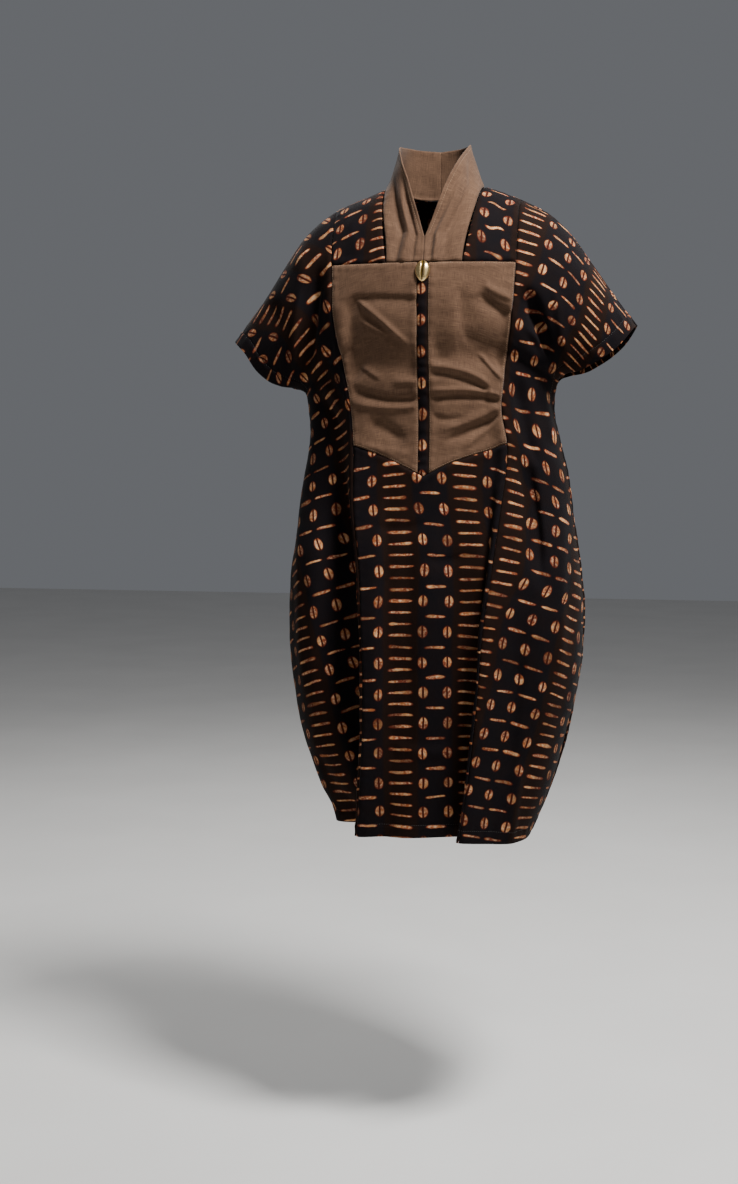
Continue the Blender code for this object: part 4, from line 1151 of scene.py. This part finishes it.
def makeButton():
    p = shellButton
    slit, rim, dent, wearAndShade = p["slit"], p["lip"], p["hollow"], p["wearAndShade"]
    bm = bmesh.new()
    bmesh.ops.create_uvsphere(bm, u_segments=p["segments"][0], v_segments=p["segments"][1], radius=1.0)
    bm.faces.sort(key=lambda face: sum(vert.index**2 for vert in face.verts))  # the same order in each run
    # how bright the gilt is painted at each point: lower where shade is painted in the recesses
    polishAndShade = bm.verts.layers.float.new("polishAndShade")
    for vert in bm.verts:
        x, y, z = vert.co
        taper = 1.0 + p["taper"][0] * z - p["taper"][1] * z * z
        fromSlit = x - slit["wander"] * math.sin(z * slit["bends"])
        hollowed = math.exp(-((fromSlit / slit["width"]) ** 2)) * (1 - z * z * slit["ends"])
        teeth = 0.5 + 0.5 * math.cos(z * math.pi * rim["teeth"])
        lip = math.exp(-(((abs(fromSlit) - rim["at"]) / rim["width"]) ** 2)) * (1 - z**6)
        lobe = 1.0 - slit["depth"] * hollowed - rim["depth"] * teeth * lip
        hollow = math.exp(-((x / dent["width"]) ** 2) - ((z - dent["at"]) / dent["height"]) ** 2) * dent["depth"]
        front = y * (lobe - hollow) * p["depth"] if y < 0 else y * p["back"]
        vert.co = Vector((x * taper * p["width"] / 2, front, z * p["height"] / 2))
        # painted shade: darker in the slit, in the hollow at the top and between the lip's teeth
        shine = 1.0 - wearAndShade["slit"] * hollowed - wearAndShade["hollow"] * hollow - wearAndShade["teeth"] * teeth * lip
        # the face is kept brighter than the back
        vert[polishAndShade] = min(1.0, max(0.0, shine)) * (wearAndShade["front"] if y < 0 else wearAndShade["back"])
    mesh = bpy.data.meshes.new("cowrieButton")
    bm.to_mesh(mesh)
    bm.free()
    piece = placeMesh("cowrieButton", mesh, gilt[0])
    step = 1e-4
    down = formPoints("front", 0.0, p["drop"] + step) - formPoints("front", 0.0, p["drop"] - step)
    normal = np.cross(down, np.array([1.0, 0.0, 0.0]))
    normal = normal / np.linalg.norm(normal) * (-1.0 if normal[1] > 0 else 1.0)
    seat = formPoints("front", 0.0, p["drop"]) + normal * (p["back"] + gap)
    lean = math.atan2(normal[2], -normal[1])
    piece.matrix_world = Matrix.Translation(Vector(seat)) @ Matrix.Rotation(-lean, 4, "X")
    finishPiece(piece, "cowrie_button", gilt[1])


topstitching = {
    "length": 0.0026,
    "pitch": 0.0036,
    "radius": 0.00028,
    "sides": 6,
    "rings": [  # along, width, lift: the ends go down into the cloth
        (-1.0, 0.25, -1.1), (-0.72, 0.9, -0.25), (-0.3, 1.0, 0.35),
        (0.3, 1.0, 0.35), (0.72, 0.9, -0.25), (1.0, 0.25, -1.1),
    ],
    "normalStep": 0.002,
    "turnStep": 0.001,
    "linenInset": 0.0026,
    "placketInset": 0.0020,
    "linenStart": 0.002,
    "collarStart": 0.046,
    "sleeveEnd": 0.235,
}


def insetLine(points, edge, inset):
    # a line on a piece, that far in from one of its edges, with the surface's normals
    if edge in ("top", "bottom"):
        points = points.transpose(1, 0, 2)
    grid = points[:, ::-1] if edge in ("right", "bottom") else points
    run = runLength(grid, 1)
    line, inner = [readRows(inset + step, run, grid) for step in (0.0, topstitching["normalStep"])]
    normals = np.cross(np.gradient(line, axis=0), inner - line)
    return line, normals / np.linalg.norm(normals, axis=1, keepdims=True)


def makeStitches(name, lines, thread):
    # each stitch is a short bowed length of thread
    p = topstitching
    count, rings, radius, step = p["sides"], p["rings"], p["radius"], p["turnStep"]
    turns = [k * 2 * math.pi / count for k in range(count)]
    vertices, faces = [], []
    for points, edge, inset, outward, start, end in lines:
        line, normals = insetLine(points, edge, inset)
        run = np.concatenate([[0], np.cumsum(np.linalg.norm(np.diff(line, axis=0), axis=1))])
        for centre in np.arange(start + p["pitch"] / 2, (end or run[-1]) - p["pitch"] / 2, p["pitch"]):
            spot, ahead, behind = [
                np.array([np.interp(place, run, line[:, k]) for k in range(3)])
                for place in (centre, centre + step, centre - step)
            ]
            normal = np.array([np.interp(centre, run, normals[:, k]) for k in range(3)])
            normal = normal / np.linalg.norm(normal) * (1.0 if normal @ outward > 0 else -1.0)
            along = (ahead - behind) / np.linalg.norm(ahead - behind)
            aside = np.cross(along, normal)
            first = len(vertices)
            for t, width, lift in rings:
                middle = spot + along * t * p["length"] / 2 + normal * lift * radius
                vertices += [middle + (aside * math.cos(a) + normal * math.sin(a)) * width * radius for a in turns]
            for ring in range(first, first + (len(rings) - 1) * count, count):
                for k in range(count):
                    a, b = ring + k, ring + (k + 1) % count
                    faces.append((a, b, b + count, a + count))
            faces.append(range(first + count - 1, first - 1, -1))
            faces.append(range(first + count * (len(rings) - 1), first + count * len(rings)))
    mesh = bpy.data.meshes.new(name)
    mesh.from_pydata([tuple(v) for v in vertices], [], faces)
    piece = placeMesh(name, mesh, thread)
    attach(piece, "root")
    print(name, len(faces), "faces")


def seamStitches():
    # each line: piece, edge, how far in, outward side, where it starts and ends along the edge
    p, hem = topstitching, seamFinish["hemDepth"]
    front, back, outAndUp = outwards["front"], outwards["back"], np.array([0.0, -0.7, 0.7])
    skirt, rear = built["skirtFront"][1], built["backPiece"][1]
    linen, cotton = [], []
    for side in ("right", "left"):
        bodice, collar, panel = [built[name + side.capitalize()][1] for name in ("bodice", "collar", "sidePanel")]
        outer, inner = ("left", "right") if side == "right" else ("right", "left")
        for edge in (outer, "bottom", "top", inner):
            inset = p["placketInset"] if edge == inner else p["linenInset"]
            linen.append((bodice, edge, inset, front, p["linenStart"], None))
        linen.append((collar, outer, bandCollar["stitchInset"], outAndUp, p["collarStart"], None))
        cotton.append((panel, "bottom", hem, front, 0.0, None))
        cotton.append((panel, outer, hem, front, 0.0, p["sleeveEnd"]))
    cotton += [(skirt, "bottom", hem, front, 0.0, None), (rear, "bottom", hem, back, 0.0, None)]
    cotton += [(rear, edge, hem, back, 0.0, p["sleeveEnd"]) for edge in ("left", "right")]
    makeStitches("linenTopstitching", linen, brownThread)
    makeStitches("hemStitching", cotton, blackThread)


makeButton()
seamStitches()
print("button and stitches made")

restsOn = {
    "sidePanelRight": "backPiece",
    "sidePanelLeft": "backPiece",
    "yokeRight": "backPiece",
    "yokeLeft": "backPiece",
    "bodiceRight": "yokeRight",
    "bodiceLeft": "yokeLeft",
    "collarRight": "backPiece",
    "collarLeft": "backPiece",
    "skirtFront": "bodiceRight",
    "placketStrip": "collarRight",
    "backPiece": "sidePanelRight",
}
for name, holder in restsOn.items():
    piece, points, (width, length, area) = built[name]
    flat, area = (round(width, 3), round(length, 3)), round(min(area, width * length), 4)

studio = {
    "floorHeight": -1.48,
    "floorSize": 9.0,
    "floorColour": "#d9d7d3",
    "floorGrain": 3.0,  # per metre
    "floorShade": (0.97, 1.02),
    "surroundColour": "#e7ebf3",
    "surround": 0.17,
    "aim": (0.0, 0.0, -0.45),
    "softboxes": [  # name, place, size in metres, watts
        ("keySoftbox", (0.95, -0.85, 1.75), 0.6, 165.0),
        ("fillSoftbox", (2.0, -2.4, 0.2), 2.0, 7.0),
        ("rimSoftbox", (-1.2, 2.0, 1.3), 1.2, 30.0),
        ("rimSoftboxOther", (1.6, 1.8, 0.9), 1.2, 30.0),
    ],
    "lens": 51.69,
    "sensor": 36.0,
    "distance": 2.65,
    "cameraHeight": -0.39,
    "turn": 9.0,  # degrees towards the left side
    "offAxis": (65 / 1700, 154 / 1700),  # slopes to the picture's middle, across and down
}


def makeStudio():
    p, scene = studio, bpy.context.scene
    # Painted paper, rolled flat: matt, with a faint cloudiness
    made, add = startMaterial("paintedPaperBackdrop")
    place = add("TexCoord")
    grain = add("TexNoise", {"Vector": place.outputs["Object"], "Scale": p["floorGrain"], "Detail": 4.0})
    tint = add("MapRange", [grain, 0.3, 0.7, *p["floorShade"]])
    colour = add("VectorMath", {0: hexColour(p["floorColour"])[:3], 3: tint}, operation="SCALE")
    add("OutputMaterial", {"Surface": add("BsdfPrincipled", {"Base Color": colour, "Roughness": 0.9})})
    bm = bmesh.new()
    bmesh.ops.create_grid(bm, x_segments=8, y_segments=8, size=p["floorSize"])
    mesh = bpy.data.meshes.new("paleFloor")
    bm.to_mesh(mesh)
    bm.free()
    floor = placeMesh("paleFloor", mesh, made)
    floor.location = (0.0, 0.0, p["floorHeight"])
    scene.world = bpy.data.worlds.new("softSurround")
    scene.world.use_nodes = True
    light = scene.world.node_tree.nodes["Background"].inputs
    light["Color"].default_value = hexColour(p["surroundColour"])
    light["Strength"].default_value = p["surround"]
    for name, place, size, power in p["softboxes"]:
        data = bpy.data.lights.new(name, "AREA")
        data.size = size
        data.energy = power
        lamp = bpy.data.objects.new(name, data)
        lamp.location = place
        lamp.rotation_euler = (Vector(p["aim"]) - Vector(place)).to_track_quat("-Z", "Y").to_euler()
        scene.collection.objects.link(lamp)
    camera = bpy.data.objects.new("camera", bpy.data.cameras.new("camera"))
    turn, (yaw, pitch) = math.radians(p["turn"]), map(math.atan, p["offAxis"])
    forward = Vector((-math.sin(turn), math.cos(turn), 0.0))
    sideways = Vector((math.cos(turn), math.sin(turn), 0.0))
    forward = forward * math.cos(yaw) - sideways * math.sin(yaw)
    forward = forward * math.cos(pitch) - Vector((0.0, 0.0, math.sin(pitch)))
    camera.location = (p["distance"] * math.sin(turn), -p["distance"] * math.cos(turn), p["cameraHeight"])
    camera.rotation_euler = forward.to_track_quat("-Z", "Y").to_euler()
    camera.data.lens = p["lens"]
    camera.data.sensor_width = p["sensor"]
    scene.collection.objects.link(camera)
    scene.camera = camera


makeStudio()
print("studio made")
bpy.context.view_layer.update()
